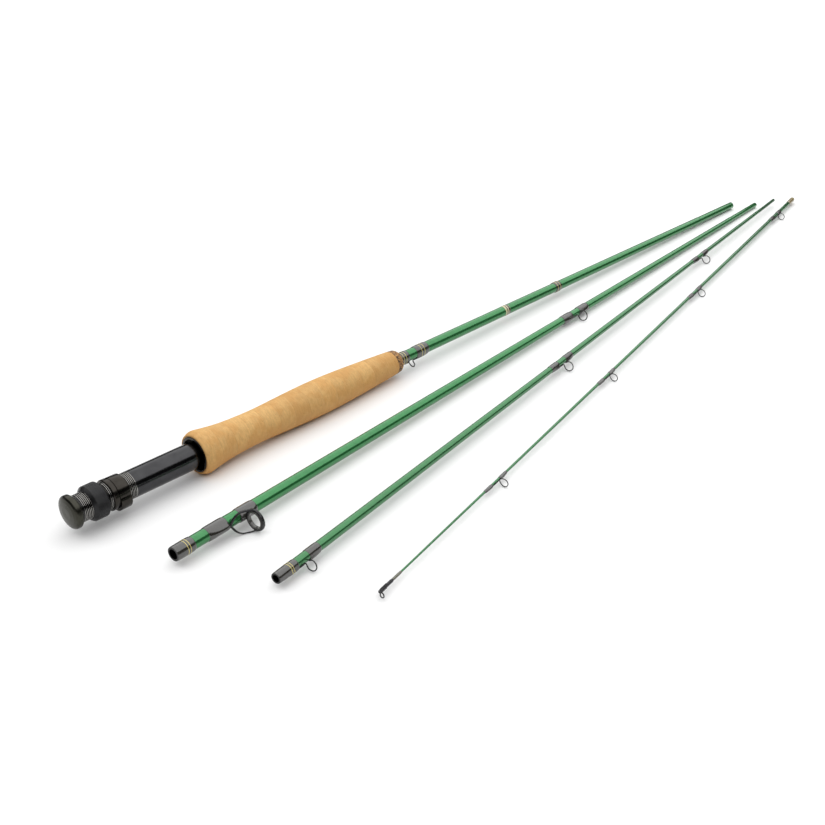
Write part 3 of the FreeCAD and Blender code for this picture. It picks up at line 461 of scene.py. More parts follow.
class Finish:
    """A material in the making: its nodes, and where a point lies along and round a section."""

    def __init__(self, name, section=None):
        self.material = bpy.data.materials.new(name)
        self.material.use_nodes = True
        self.tree = self.material.node_tree
        self.shader = next(n for n in self.tree.nodes if n.type == "BSDF_PRINCIPLED")
        self.place = self.node("ShaderNodeTexCoord", {}, {}).outputs["Object"]
        self.section = SECTIONS[section] if section else None

    def node(self, kind, choices, inputs):
        """A node with its choices set first, then its sockets filled by values or links."""
        made = self.tree.nodes.new(kind)
        for key, value in choices.items():
            if key == "stops":
                while len(made.color_ramp.elements) < len(value):
                    made.color_ramp.elements.new(0.5)
                for element, (position, tint) in zip(made.color_ramp.elements, value):
                    element.position = position
                    element.color = (*tint, 1.0)
            else:
                setattr(made, key, value)
        for key, value in inputs.items():
            socket = made.inputs[key]
            if isinstance(value, Number):
                value = value.socket
            if isinstance(value, bpy.types.NodeSocket):
                self.tree.links.new(value, socket)
            else:
                socket.default_value = value
        return made

    def measured(self, direction):
        """Millimetres from the section's first end, or its axis, along a direction."""
        dot = self.node("ShaderNodeVectorMath", {"operation": "DOT_PRODUCT"}, {
            0: self.place, 1: tuple(direction),
        })
        start = float(np.dot(self.section.origin, direction))
        return (Number(self, dot.outputs["Value"]) - start) * (1 / MM)

    def station(self):
        """Millimetres along the section."""
        return self.measured(self.section.along)

    def turn(self):
        """The angle round the section's axis, zero towards the guides."""
        return self.measured(self.section.side).maths("ARCTAN2", self.measured(self.section.guide))

    def from_axis(self):
        """Millimetres from the section's axis: the root of the two squared offsets."""
        off_guide = self.measured(self.section.guide) ** 2.0
        off_side = self.measured(self.section.side) ** 2.0
        return (off_guide + off_side) ** 0.5

    def stretched(self, along, across):
        """Section coordinates scaled along the axis and across it, for a pattern to read."""
        made = self.node("ShaderNodeCombineXYZ", {}, {
            "X": self.station() * along,
            "Y": self.measured(self.section.guide) * across,
            "Z": self.measured(self.section.side) * across,
        })
        return made.outputs["Vector"]

    def noise(self, vector, scale, detail=3.0, roughness=0.55):
        """Smooth noise between 0 and 1."""
        made = self.node("ShaderNodeTexNoise", {}, {
            "Vector": vector, "Scale": scale, "Detail": detail, "Roughness": roughness,
        })
        return Number(self, made.outputs["Fac"])

    def cells(self, vector, scale, randomness=1.0):
        """Distance to the nearest of scattered points, and each point's own random colour."""
        made = self.node("ShaderNodeTexVoronoi", {}, {
            "Vector": vector, "Scale": scale, "Randomness": randomness,
        })
        return Number(self, made.outputs["Distance"]), made.outputs["Color"]

    def random(self, number):
        """A random value for each whole number."""
        made = self.node("ShaderNodeTexWhiteNoise", {"noise_dimensions": "1D"}, {"W": number})
        return Number(self, made.outputs["Value"])

    def blend(self, share, first, second):
        """One colour turning into another."""
        first = (*first, 1.0) if isinstance(first, tuple) else first
        second = (*second, 1.0) if isinstance(second, tuple) else second
        made = self.node("ShaderNodeMix", {"data_type": "RGBA"}, {0: share, 6: first, 7: second})
        return made.outputs[2]

    def bump(self, height, strength, distance):
        """Small relief from a height, in millimetres."""
        made = self.node("ShaderNodeBump", {}, {
            "Height": height, "Strength": strength, "Distance": distance * MM,
        })
        self.tree.links.new(made.outputs["Normal"], self.shader.inputs["Normal"])

    def surface(self, **values):
        """Fill the shader's sockets; an underscore stands for a space in a socket's name."""
        for key, value in values.items():
            socket = self.shader.inputs[key.replace("_", " ")]
            if isinstance(value, Number):
                value = value.socket
            if isinstance(value, bpy.types.NodeSocket):
                self.tree.links.new(value, socket)
            elif isinstance(value, tuple) and len(value) == 3:
                socket.default_value = (*value, 1.0)
            else:
                socket.default_value = value
        return self.material


GRIP_START = 92.3
GRIP_END = 273.4
BURL_START = 266.6
CORK_RINGS = 14
GRIP_SHAPE = (
    (0.000, 13.30), (0.022, 14.62), (0.060, 13.75), (0.115, 12.45), (0.165, 11.72), (0.230, 11.30),
    (0.300, 11.22), (0.430, 12.02), (0.520, 12.42), (0.600, 12.37), (0.700, 11.75), (0.810, 10.67),
    (0.930, 9.28), (1.000, 8.35),
)


# ------------------------------------------------------------------ finishes
def lacquer(section, plug, mouth, bore, ground, dull):
    """Green lacquer over the blank, glossy, with faint cloth marks and flake.

    ground says how far the plug is bare and ground, dull how grey the lacquer looks; the socket
    and the bore, inside their radii, are dark.
    """
    blank = settings("blank")
    finish = Finish(f"lacquer_{section}", section)
    station, turn = finish.station(), finish.turn()
    drift = finish.noise(finish.stretched(0.02, 0.25), 1.0, 3.0)
    cloth = ((turn * 1.0 + station * (2 * math.pi / 7.5)).wave() * 0.5 + 0.5) * 0.35
    flake = finish.noise(finish.stretched(2.2, 2.2), 3.0, 2.0)
    depth = (drift * 0.6 + cloth * 0.5 + flake * 0.25).step(0.35, 0.95)
    tint = finish.blend(depth * 0.55, tuple(blank.lacquer), tuple(blank.lacquer_far))
    tint = finish.blend(dull, tint, (0.075, 0.12, 0.08))
    bare = station.step(plug, plug + 0.5) * ground
    from_axis = finish.from_axis()
    socket = (1.0 - station.step(60.0, 61.0)) * (1.0 - from_axis.step(mouth, mouth + 0.1))
    rim = 1.0 - station.step(0.3, 0.5)
    hole = station.step(plug + 10.0, plug + 11.0) * (1.0 - from_axis.step(bore, bore + 0.1))
    dark = socket.maths("MAXIMUM", rim).maths("MAXIMUM", hole)
    rings = finish.noise(finish.stretched(9.0, 0.15), 1.0, 2.0)
    olive = finish.blend(rings * 0.5, tuple(blank.lacquer_far), (0.06, 0.085, 0.05))
    tint = finish.blend(dark, finish.blend(bare, tint, olive), (0.006, 0.006, 0.006))
    finish.bump((turn + station * (2 * math.pi / 7.5)).wave() + flake * 0.5 + bare * rings * 2.0, 0.06, 0.05)
    return finish.surface(
        Base_Color=tint, Metallic=0.62, Roughness=flake * 0.06 + 0.15 + bare * 0.16,
        Coat_Weight=(0.5 - bare * 0.3) * (1.0 - dark), Coat_Roughness=0.05, Specular_IOR_Level=0.5,
    )


def thread(section, tone=None):
    """Thread under clear finish: close-laid turns that show through a glossy, slightly wavy coat."""
    tone = tone or tuple(settings("fitting").thread)
    kind = "plain" if tone == tuple(settings("fitting").thread) else "olive"
    finish = Finish(f"thread_{section}_{kind}", section)
    station = finish.station()
    strand = (station * (2 * math.pi / 0.22)).wave()
    streak = finish.noise(finish.stretched(4.0, 0.2), 1.0, 3.0)
    wavy = finish.noise(finish.stretched(0.35, 0.6), 1.0, 2.0)
    lighter = tuple(min(1.0, c * 2.0 + 0.006) for c in tone)
    tint = finish.blend((strand * 0.18 + streak * 0.7).step(0.1, 0.9), tone, lighter)
    finish.bump(strand * 0.25 + wavy * 2.0, 0.16, 0.10)
    return finish.surface(
        Base_Color=tint, Roughness=streak * 0.10 + 0.14, Coat_Weight=0.6, Coat_Roughness=0.08,
        Specular_IOR_Level=0.85,
    )


def bright_thread(section):
    """Bright yellow-cream thread with fine turns."""
    tone = tuple(settings("fitting").trim)
    finish = Finish(f"trim_{section}", section)
    strand = (finish.station() * (2 * math.pi / 0.18)).wave() * 0.5 + 0.5
    speck = finish.noise(finish.stretched(5.0, 5.0), 1.0, 2.0)
    tint = finish.blend((strand * 0.4 + speck * 0.6) * 0.7, tone, tuple(c * 0.45 for c in tone))
    finish.bump(strand, 0.2, 0.04)
    return finish.surface(Base_Color=tint, Metallic=0.25, Roughness=0.28 + speck * 0.1, Coat_Weight=0.5)


THREAD_START = 7.1
THREAD_END = 43.9
THREAD_FLOOR = 8.40
THREAD_CREST = 8.74


def seat_metal(name, tone, roughness, grain=1.0, metallic=1.0, paint_thread_light=False):
    """Anodised black metal: fine turning rings round the seat, small worn specks, and painted light on the
    thread.

    Where the barrel is threaded, its crests carry a painted highlight and its grooves painted shade.
    """
    finish = Finish(name, "butt")
    rings = finish.noise(finish.stretched(14.0, 0.05), 1.0, 2.0)
    cloud = finish.noise(finish.stretched(0.12, 0.2), 1.0, 3.0)
    speck = finish.noise(finish.stretched(3.0, 3.0), 2.0, 2.0)
    worn = speck.step(0.70, 0.80) * 0.35
    lighter = tuple(min(1.0, c * 1.35 + 0.008) for c in tone)
    tint = finish.blend(cloud.step(0.3, 0.7) * 0.5 + worn, tone, lighter)
    if paint_thread_light:
        painted_crest_light = finish.from_axis().step(THREAD_FLOOR, THREAD_CREST)
        station = finish.station()
        begun = station.step(THREAD_START, THREAD_START + 0.3)
        threaded = begun * (1.0 - station.step(THREAD_END - 0.4, THREAD_END))
        # Painted highlight along the thread's crests, then painted shade down in its grooves.
        tint = finish.blend(threaded * painted_crest_light * 0.85, tint, (0.40, 0.39, 0.37))
        tint = finish.blend(threaded * (1.0 - painted_crest_light), tint, (0.004, 0.004, 0.004))
    finish.bump(rings, 0.12 * grain, 0.04)
    return finish.surface(
        Base_Color=tint, Metallic=metallic, Roughness=rings * 0.08 + cloud * 0.06 + roughness,
        Specular_IOR_Level=0.5,
    )


def cork():
    """Cork: each glued ring its own tone, streaked across, with dark pits and pale flecks, and painted shade
    in deeper orange on its lower side.
    """
    grip = settings("grip")
    finish = Finish("cork", "butt")
    station = finish.station()
    width = (BURL_START - GRIP_START) / CORK_RINGS
    ring = ((station - GRIP_START) / width).floor()
    own = finish.random(ring * 3.7 + 11.0)
    shift = finish.node("ShaderNodeVectorMath", {"operation": "ADD"}, {
        0: finish.stretched(1.0, 1.0),
        1: finish.node("ShaderNodeCombineXYZ", {}, {
            "X": own * 57.0, "Y": own * 31.0, "Z": own * 83.0,
        }).outputs["Vector"],
    }).outputs["Vector"]
    streaked = finish.node("ShaderNodeMapping", {}, {
        "Vector": shift, "Scale": (0.9, 0.20, 0.32), "Rotation": (0.5, 0.12, 0.0),
    }).outputs["Vector"]
    grain = finish.noise(streaked, 1.1, 5.0, 0.62)
    fine = finish.noise(shift, 2.6, 4.0, 0.65)
    distance, _ = finish.cells(streaked, 1.25)
    pits = 1.0 - (distance + fine * 0.22).step(0.13, 0.30)
    some = finish.noise(shift, 0.22, 2.0).step(0.46, 0.62)
    pits = pits * some
    patches = finish.noise(shift, 0.10, 2.0).step(0.40, 0.62)
    light = tuple(min(1.0, c * 1.32) for c in grip.cork)
    orange = tuple(c * f for c, f in zip(grip.cork, (0.98, 0.76, 0.50)))
    base = finish.blend(grain.step(0.25, 0.75), tuple(grip.cork), light)
    base = finish.blend(patches * 0.45, base, orange)
    base = finish.blend(fine.step(0.48, 0.78) * 0.60, base, tuple(c * 0.58 for c in grip.cork))
    # Painted shade: by height, the grip's lower side turns a deeper orange, as an underside looks in shade.
    under = 1.0 - finish.measured((0.0, 0.0, 1.0)).step(-12.0, 6.0)
    base = finish.blend(under * 0.55, base, orange)
    base = finish.blend(own * 0.30, base, tuple(c * f for c, f in zip(grip.cork, (0.80, 0.70, 0.62))))
    base = finish.blend(pits * 0.92, base, tuple(grip.cork_dark))
    seam = ((station - GRIP_START).wrapped(width) - width / 2).size().step(width / 2 - 0.13, width / 2 - 0.01)
    base = finish.blend(seam * 0.40, base, tuple(grip.cork_dark))
    finish.bump(fine * 0.5 + grain * 0.4 - pits * 1.6 - seam * 0.6, 0.35, 0.22)
    return finish.surface(
        Base_Color=base, Roughness=0.62 + fine * 0.22, Specular_IOR_Level=0.35,
    )


def burl():
    """Burl cork: crumbs of brown, orange and near-black pressed together."""
    tone = tuple(settings("grip").burl)
    finish = Finish("burl_cork", "butt")
    place = finish.stretched(1.0, 1.0)
    distance, colours = finish.cells(place, 1.1)
    split = finish.node("ShaderNodeSeparateColor", {}, {"Color": colours})
    pick = Number(finish, split.outputs[0])
    crumbs = finish.node("ShaderNodeValToRGB", {
        "stops": (
            (0.0, (0.030, 0.016, 0.010)), (0.30, tone), (0.55, (0.34, 0.17, 0.065)),
            (0.80, (0.50, 0.27, 0.10)), (1.0, (0.09, 0.045, 0.025)),
        ),
    }, {"Fac": pick})
    fine = finish.noise(place, 3.2, 4.0, 0.6)
    tint = finish.blend(fine.step(0.45, 0.8) * 0.5, crumbs.outputs["Color"], (0.05, 0.028, 0.018))
    finish.bump(fine + distance * 0.6, 0.4, 0.2)
    return finish.surface(Base_Color=tint, Roughness=0.55 + fine * 0.25, Specular_IOR_Level=0.35)


def plated(section):
    """Black plated wire: glossy, a little uneven, with faint drawn lines."""
    tone = tuple(settings("fitting").wire)
    finish = Finish(f"plated_{section}", section)
    cloud = finish.noise(finish.stretched(0.8, 0.8), 1.0, 3.0)
    tint = finish.blend(cloud.step(0.35, 0.75), tone, tuple(c * 2.6 for c in tone))
    finish.bump(cloud, 0.08, 0.05)
    return finish.surface(
        Base_Color=tint, Metallic=0.35, Roughness=cloud * 0.14 + 0.20, Specular_IOR_Level=0.5,
    )


def ceramic():
    """Dark polished ceramic with a faint mottling."""
    tone = tuple(settings("fitting").ceramic)
    finish = Finish("ceramic", "second")
    cloud = finish.noise(finish.stretched(1.4, 1.4), 1.0, 4.0)
    tint = finish.blend(cloud.step(0.3, 0.7), tone, tuple(c * 1.9 for c in tone))
    return finish.surface(
        Base_Color=tint, Roughness=0.12 + cloud * 0.08, Coat_Weight=0.4, Specular_IOR_Level=0.6,
    )


def printed_band():
    """A printed band: cream and dark stripes of uneven width between two fine lines."""
    light = tuple(settings("fitting").ink)
    finish = Finish("printed_band", "butt")
    station = finish.station()
    stripe = finish.random((station * 1.9).floor()).step(0.42, 0.46)
    speck = finish.noise(finish.stretched(3.0, 3.0), 1.5, 3.0)
    tint = finish.blend(stripe, light, (0.020, 0.022, 0.018))
    tint = finish.blend(speck.step(0.45, 0.7) * 0.35, tint, (0.12, 0.12, 0.07))
    return finish.surface(Base_Color=tint, Roughness=0.22 + speck * 0.1, Coat_Weight=0.5)


def inner_foam():
    """Pale foamed plastic of the arbors, with closed cells."""
    finish = Finish("arbor_foam", "butt")
    distance, _ = finish.cells(finish.stretched(1.0, 1.0), 2.4)
    tint = finish.blend(distance.step(0.1, 0.5), (0.24, 0.21, 0.16), (0.46, 0.41, 0.33))
    finish.bump(distance, 0.4, 0.2)
    return finish.surface(Base_Color=tint, Roughness=0.7 + distance * 0.1)


def friction_plastic():
    """Off-white nylon of the lock nut's inner ring."""
    finish = Finish("friction_plastic", "butt")
    cloud = finish.noise(finish.stretched(1.0, 1.0), 1.5, 3.0)
    tint = finish.blend(cloud, (0.62, 0.61, 0.56), (0.74, 0.73, 0.69))
    return finish.surface(Base_Color=tint, Roughness=0.38 + cloud * 0.1)


# ------------------------------------------------------------------ reel seat
class FLYROD_OT_seat(bpy.types.Operator):
    """Make the reel seat's butt cap and its threaded barrel."""

    bl_idname = "fly_rod.seat"
    bl_label = "Reel seat"

    def execute(self, context):
        """The cap is a turned outline; the barrel's thread is a groove that winds round it."""
        seat = settings("seat")
        metal = seat_metal("seat_metal", tuple(seat.metal), 0.11, paint_thread_light=True)
        dull = seat_metal("cap_metal", tuple(seat.cap_metal), 0.22)
        cap = [
            (0.0, 0.02), (0.1, 4.0), (0.5, 7.2), (1.1, 9.2), (1.8, 10.35), (2.6, 10.8), (4.7, 10.8),
            (6.6, 9.0), (6.6, 7.5), (12.4, 7.5), (12.4, 0.02),
        ]
        piece("butt_cap_shell", [turned("butt", cap, 0.3, 120)], "butt", dull, ["butt_cap"])
        radius = seat.barrel / MM
        threaded = np.arange(THREAD_START, THREAD_END, 0.105)
        station = np.concatenate([threaded, [44.5, 60.0, 80.0, 103.8, 104.0]])[:, None]
        turn = angles(120)
        phase = (station - THREAD_START) / (seat.thread_pitch / MM) - turn / (2 * math.pi)
        groove = np.clip(2.4 * np.abs(2 * (phase % 1.0) - 1) - 0.6, 0, 1)
        begin = np.clip((station - THREAD_START) / 0.5, 0, 1)
        ends = begin * np.clip((THREAD_END - 0.1 - station) / 0.5, 0, 1)
        outer = radius - seat.thread_depth / MM * groove * ends
        outer[-1] -= 0.2
        inner = np.full((2, 120), 7.5)
        barrel = around(
            "butt", np.concatenate([[6.6], station[:, 0], [104.0, 6.6]]),
            np.concatenate([np.full((1, 120), radius - 0.2), outer, inner]), 120,
        )
        piece("threaded_barrel", [barrel], "butt", metal, ["reel_seat_barrel"], 75)
        return {"FINISHED"}


class FLYROD_OT_nuts(bpy.types.Operator):
    """Make the knurled lock nut and the nut that pushes the sliding hood."""

    bl_idname = "fly_rod.nuts"
    bl_label = "Seat nuts"

    def execute(self, context):
        """The lock nut's skin carries fine straight flutes; the hood nut is plain."""
        seat = settings("seat")
        matt = seat_metal("knurled_metal", tuple(seat.nut_metal), 0.26, 2.0, 0.8)
        metal = seat_metal("nut_metal", tuple(seat.hood_metal), 0.15)
        outline = softened([
            (13.0, 8.87), (13.0, 9.2), (15.1, 11.3), (22.6, 11.3), (24.5, 9.4), (24.5, 8.87),
            (23.0, 8.87), (23.0, 9.9), (21.0, 9.9), (21.0, 8.87),
        ], 0.18)
        segments = 288
        turn = angles(segments)
        flutes = 0.11 * np.abs(np.sin(turn * 48)) ** 0.6
        on_skin = (outline[:, 1:] > 11.2) * 1.0
        radii = outline[:, 1:] + (flutes - 0.11) * on_skin
        nut = around("butt", outline[:, 0], radii, segments)
        piece("lock_nut_knurled", [nut], "lock_nut", matt, ["lock_nut"])
        hood_nut = turned("butt", [
            (27.0, 8.87), (27.0, 9.7), (27.5, 10.2), (30.3, 10.2), (30.3, 9.4), (32.3, 9.4), (32.3, 8.87),
        ], 0.15, 120)
        piece("hood_nut_ring", [hood_nut], "hood_nut", metal, ["hood_nut"])
        return {"FINISHED"}


def lobed(round_radius, lobe_radius, offset, turn):
    """The outline of a circle and a second circle standing off it, whichever is further out.

    Their meeting is blended: half the sum of the two radii plus the root of their squared half
    difference with a small constant added.
    """
    lobe = offset_circle(lobe_radius, offset, turn)
    half = (lobe - round_radius) / 2
    return (lobe + round_radius) / 2 + np.sqrt(half**2 + 0.0025)


class FLYROD_OT_hoods(bpy.types.Operator):
    """Make the sliding hood and the fixed hood that hold a reel's foot."""

    bl_idname = "fly_rod.hoods"
    bl_label = "Hoods"

    def execute(self, context):
        """Each hood is a ring with a lobe, and a pocket under the lobe for the foot."""
        seat = settings("seat")
        metal = seat_metal("hood_metal", tuple(seat.hood_metal), 0.13)
        segments = 240
        turn = angles(segments)
        bore = np.full((1, segments), 8.87)
        wide = np.full((1, segments), 9.5)
        shell = lobed(10.0, 7.6, 4.4, turn)
        pocket = lobed(8.87, 6.6, 4.4, turn)
        rows = [
            (30.8, wide), (30.8, wide + 0.1), (30.8, shell - 0.2), (30.86, shell - 0.06), (31.0, shell),
            (37.9, shell), (38.25, shell - 0.1), (38.5, shell - 0.35), (38.6, shell - 0.6),
            (38.6, np.minimum(pocket + 0.06, shell - 0.62)), (38.55, pocket), (33.5, pocket),
            (33.4, np.maximum(pocket - 0.1, bore)), (33.4, bore), (33.0, bore), (33.0, wide - 0.05),
            (32.95, wide),
        ]
        station, radii = zip(*rows)
        hood = around("butt", station, np.concatenate(radii), segments)
        piece("sliding_hood_shell", [hood], "hood", metal, ["sliding_hood"])
        bore = np.full((1, segments), 8.8)
        shell = np.full((1, segments), 12.0)
        recess = lobed(10.4, 6.9, 4.4, turn)
        pocket = lobed(8.8, 6.9, 4.4, turn)
        rows = [
            (92.12, recess), (92.0, recess + 0.12), (92.0, shell - 0.3), (92.08, shell - 0.1),
            (92.3, shell),
            (103.9, shell), (104.0, shell - 0.1), (104.0, bore), (101.1, bore),
            (101.0, np.maximum(pocket - 0.1, bore)), (100.9, pocket), (95.05, pocket),
            (95.0, np.minimum(pocket + 0.05, recess)), (94.95, recess),
        ]
        station, radii = zip(*rows)
        fixed = around("butt", station, np.concatenate(radii), segments)
        piece("fixed_hood_shell", [fixed], "butt", metal, ["fore_hood"])
        return {"FINISHED"}


# ------------------------------------------------------------------ grip
def grip_radius(station):
    """The grip's radius in millimetres: cubics through its named points, level with their neighbours."""
    points = np.array(GRIP_SHAPE) * (GRIP_END - GRIP_START, 1.0) + (GRIP_START, 0.0)
    fine = curve_through(
        np.column_stack([points, np.zeros(len(points))]),
        np.column_stack([np.gradient(points, axis=0), np.zeros(len(points))]),
    )
    return np.interp(station, fine[:, 0], fine[:, 1])


class FLYROD_OT_grip(bpy.types.Operator):
    """Make the cork grip with its glued rings, and the burl ring at its front."""

    bl_idname = "fly_rod.grip"
    bl_label = "Grip"

    def execute(self, context):
        """The cork's skin is its radius less shallow pits, from seeded scattered dots, and less its seams."""
        rows, segments = 500, 170
        station = np.linspace(GRIP_START + 1.1, BURL_START, rows)
        turn = angles(segments)
        outer = grip_radius(station)[:, None] + 0 * turn
        random = np.random.default_rng(7)
        count = 520
        spot = np.column_stack([
            random.uniform(GRIP_START + 3, BURL_START - 1, count), random.uniform(0, 2 * math.pi, count),
            random.uniform(0.35, 1.3, count), random.uniform(0.3, 0.75, count),
            random.uniform(0.05, 0.22, count),
        ])
        away = np.angle(np.exp(1j * (turn[..., None] - spot[:, 1]))) * 12.0
        along = (station[:, None, None] - spot[:, 0])
        near = np.exp(-((along / spot[:, 2]) ** 2)[..., :] - (away / spot[:, 3]) ** 2)
        pits = np.minimum((near * spot[:, 4]).sum(-1), 0.3)
        ring = (BURL_START - GRIP_START) / CORK_RINGS
        seam = (station - GRIP_START + ring / 2) % ring - ring / 2
        outer -= pits + 0.07 * np.exp(-((seam / 0.22) ** 2))[:, None]
        first = grip_radius(GRIP_START)
        lip = [
            (104.0, 12.0), (92.5, 12.0), (92.3, 12.2), (92.3, first - 0.7), (92.45, first - 0.3),
            (92.8, first + 0.2),
        ]
        back = [(BURL_START, blank_radius("butt", BURL_START)), (104.0, blank_radius("butt", 104.0))]
        stations = np.concatenate([[s for s, _ in lip], station, [s for s, _ in back]])
        lip_radii, back_radii = (np.array([r for _, r in rows])[:, None] + 0 * turn for rows in (lip, back))
        radii = np.concatenate([lip_radii, outer, back_radii])
        handle = around("butt", stations, radii, segments)
        piece("cork_handle", [handle], "butt", cork(), ["cork_grip"])
        last = grip_radius(GRIP_END)
        nose = [
            (BURL_START, blank_radius("butt", BURL_START)), (BURL_START, grip_radius(BURL_START)),
            (GRIP_END - 2.2, last), (GRIP_END - 0.9, last - 0.85), (GRIP_END, last - 2.2),
            (GRIP_END, blank_radius("butt", GRIP_END)),
        ]
        piece("burl_nose", [turned("butt", nose, 0.3, 120)], "butt", burl(), ["burl_ring"])
        return {"FINISHED"}


# ------------------------------------------------------------------ blanks
class FLYROD_OT_blanks(bpy.types.Operator):
    """Make the four tapered hollow blanks with their plugs and sockets."""

    bl_idname = "fly_rod.blanks"
    bl_label = "Blanks"

    def execute(self, context):
        """Each blank is one outline turned about its axis: out along the skin, back along the bore."""
        blank = settings("blank")
        outlines = {
            "butt": [
                (13.0, blank.butt_thick / MM), (668.0, blank.butt_thin / MM), (668.6, 3.2), (725.0, 3.2),
                (725.0, 2.2), (13.0, 3.8),
            ],
            "second": [
                (0.0, blank.second_thick / MM), (674.0, blank.second_thin / MM), (674.5, 2.25),
                (724.0, 2.25),
                (724.0, 1.5), (58.0, 3.0), (58.0, 3.25), (0.0, 3.25),
            ],
            "third": [
                (0.0, blank.third_thick / MM), (682.0, blank.third_thin / MM), (682.4, 1.42),
                (721.0, 1.42),
                (721.0, 0.8), (51.0, 2.0), (51.0, 2.3), (0.0, 2.3),
            ],
            "tip": [
                (6.0, 0.01), (6.0, blank.tip_thin / MM), (690.0, blank.tip_thick / MM),
                (719.0, blank.tip_mouth / MM),
                (719.0, 1.47), (679.0, 1.47), (679.0, 1.25), (120.0, 0.4), (120.0, 0.01),
            ],
        }
        ends = {
            "butt": (668.0, 3.9, 2.6, 0.0, 0.0), "second": (674.0, 3.3, 1.9, 0.0, 0.0),
            "third": (682.0, 2.35, 1.1, 1.0, 0.2), "tip": (679.0, 0.3, 1.6, 0.0, 0.3),
        }
        for name, outline in outlines.items():
            tube = turned(name, outline, 0.12, 72)
            finish = lacquer(name, *ends[name])
            piece(name + "_blank_tube", [tube], BODIES[name], finish, [name + "_blank"])
        return {"FINISHED"}


# ------------------------------------------------------------------ thread wraps
def wound(name, wraps, replaced, tone=None):
    """Wraps of one group as one piece riding on their section's body."""
    section = wraps[0].section
    return piece(
        name, [wrap.skin() for wrap in wraps], BODIES[section], thread(section, tone), replaced, 60,
    )


def banded(name, wraps, replaced):
    """The bright rings of several wraps as one piece."""
    section = wraps[0].section
    rings = [ring for wrap in wraps for ring in wrap.bright()]
    return piece(name, rings, BODIES[section], bright_thread(section), replaced, 60)


class FLYROD_OT_butt_wraps(bpy.types.Operator):
    """Make the butt section's wraps, bright rings, printed band and hook keeper."""

    bl_idname = "fly_rod.butt_wraps"
    bl_label = "Butt wraps and keeper"

    def execute(self, context):
        """The keeper is a thin wire bent out and back, its feet under two wraps."""
        keeper_wraps = [
            Wrap("butt", 273.4, 282.4, foot="end", height=0.65, spread=1.1, bands=(276.0, 278.4)),
            Wrap("butt", 290.0, 302.6, foot="start", height=0.65, spread=1.1, bands=(294.6, 297.4)),
        ]
        marker = [Wrap("butt", 453.4, 460.6, bands=(455.1, 458.2))]
        wound("keeper_windings", keeper_wraps, ["keeper_wraps"])
        wound("marker_winding", marker, ["marker_wrap"])
        banded("butt_bright_rings", keeper_wraps + marker, ["butt_trim_bands"])
        rear, front, bend, reach, wire = 281.6, 285.4, 1.0, 9.2, 0.42
        foot = float(blank_radius("butt", rear)) + wire + 0.03
        half = (front - rear) / 2
        path = curve_through(
            [
                (rear - 7.5, foot, 0), (rear - bend, foot, 0), (rear, foot + bend, 0),
                (rear, reach - half, 0),
                (rear + half, reach, 0), (front, reach - half, 0), (front, foot + bend, 0),
                (front + bend, foot, 0), (front + 7.5, foot, 0),
            ],
            [
                (1, 0, 0), (1, 0, 0), (0, 1, 0), (0, 1, 0), (1, 0, 0), (0, -1, 0), (0, -1, 0), (1, 0, 0),
                (1, 0, 0),
            ], 10,
        )
        wire_piece = rod("butt", path, wire, wire, (0, 0, 1))
        piece("keeper_wire", [wire_piece], "butt", plated("butt"), ["hook_keeper"])
        band = turned("butt", [
            (390.0, blank_radius("butt", 390.0)), (390.0, blank_radius("butt", 390.0) + 0.1),
            (395.4, blank_radius("butt", 395.4) + 0.1), (395.4, blank_radius("butt", 395.4)),
        ], 0.03, 72)
        piece("printed_band", [band], "butt", printed_band(), ["label_band"])
        return {"FINISHED"}


class FLYROD_OT_ferrule_wraps(bpy.types.Operator):
    """Make the wraps that strengthen the three female ferrules."""

    bl_idname = "fly_rod.ferrule_wraps"
    bl_label = "Ferrule wraps"

    def execute(self, context):
        """The second section's wrap stands alone; the third's also covers a guide's rear foot."""
        second = [Wrap("second", 0.0, 13.6, bands=(7.4, 9.2))]
        third = [Wrap("third", 0.0, 16.1, 0.3, "end", 0.7, 0.95, (9.6, 11.2))]
        tip = [Wrap("tip", 705.0, 719.0, 0.24, bands=(716.7,))]
        wound("second_ferrule_winding", second, ["second_ferrule_wrap"])
        banded("second_bright_rings", second, ["second_trim_bands"])
        wound("third_ferrule_winding", third, ["third_ferrule_wrap"])
        banded("third_bright_rings", third, ["third_trim_bands"])
        wound("tip_ferrule_winding", tip, ["tip_ferrule_wrap"], tone=(0.17, 0.132, 0.062))
        banded("tip_bright_ring", tip, ["tip_trim_band"])
        return {"FINISHED"}


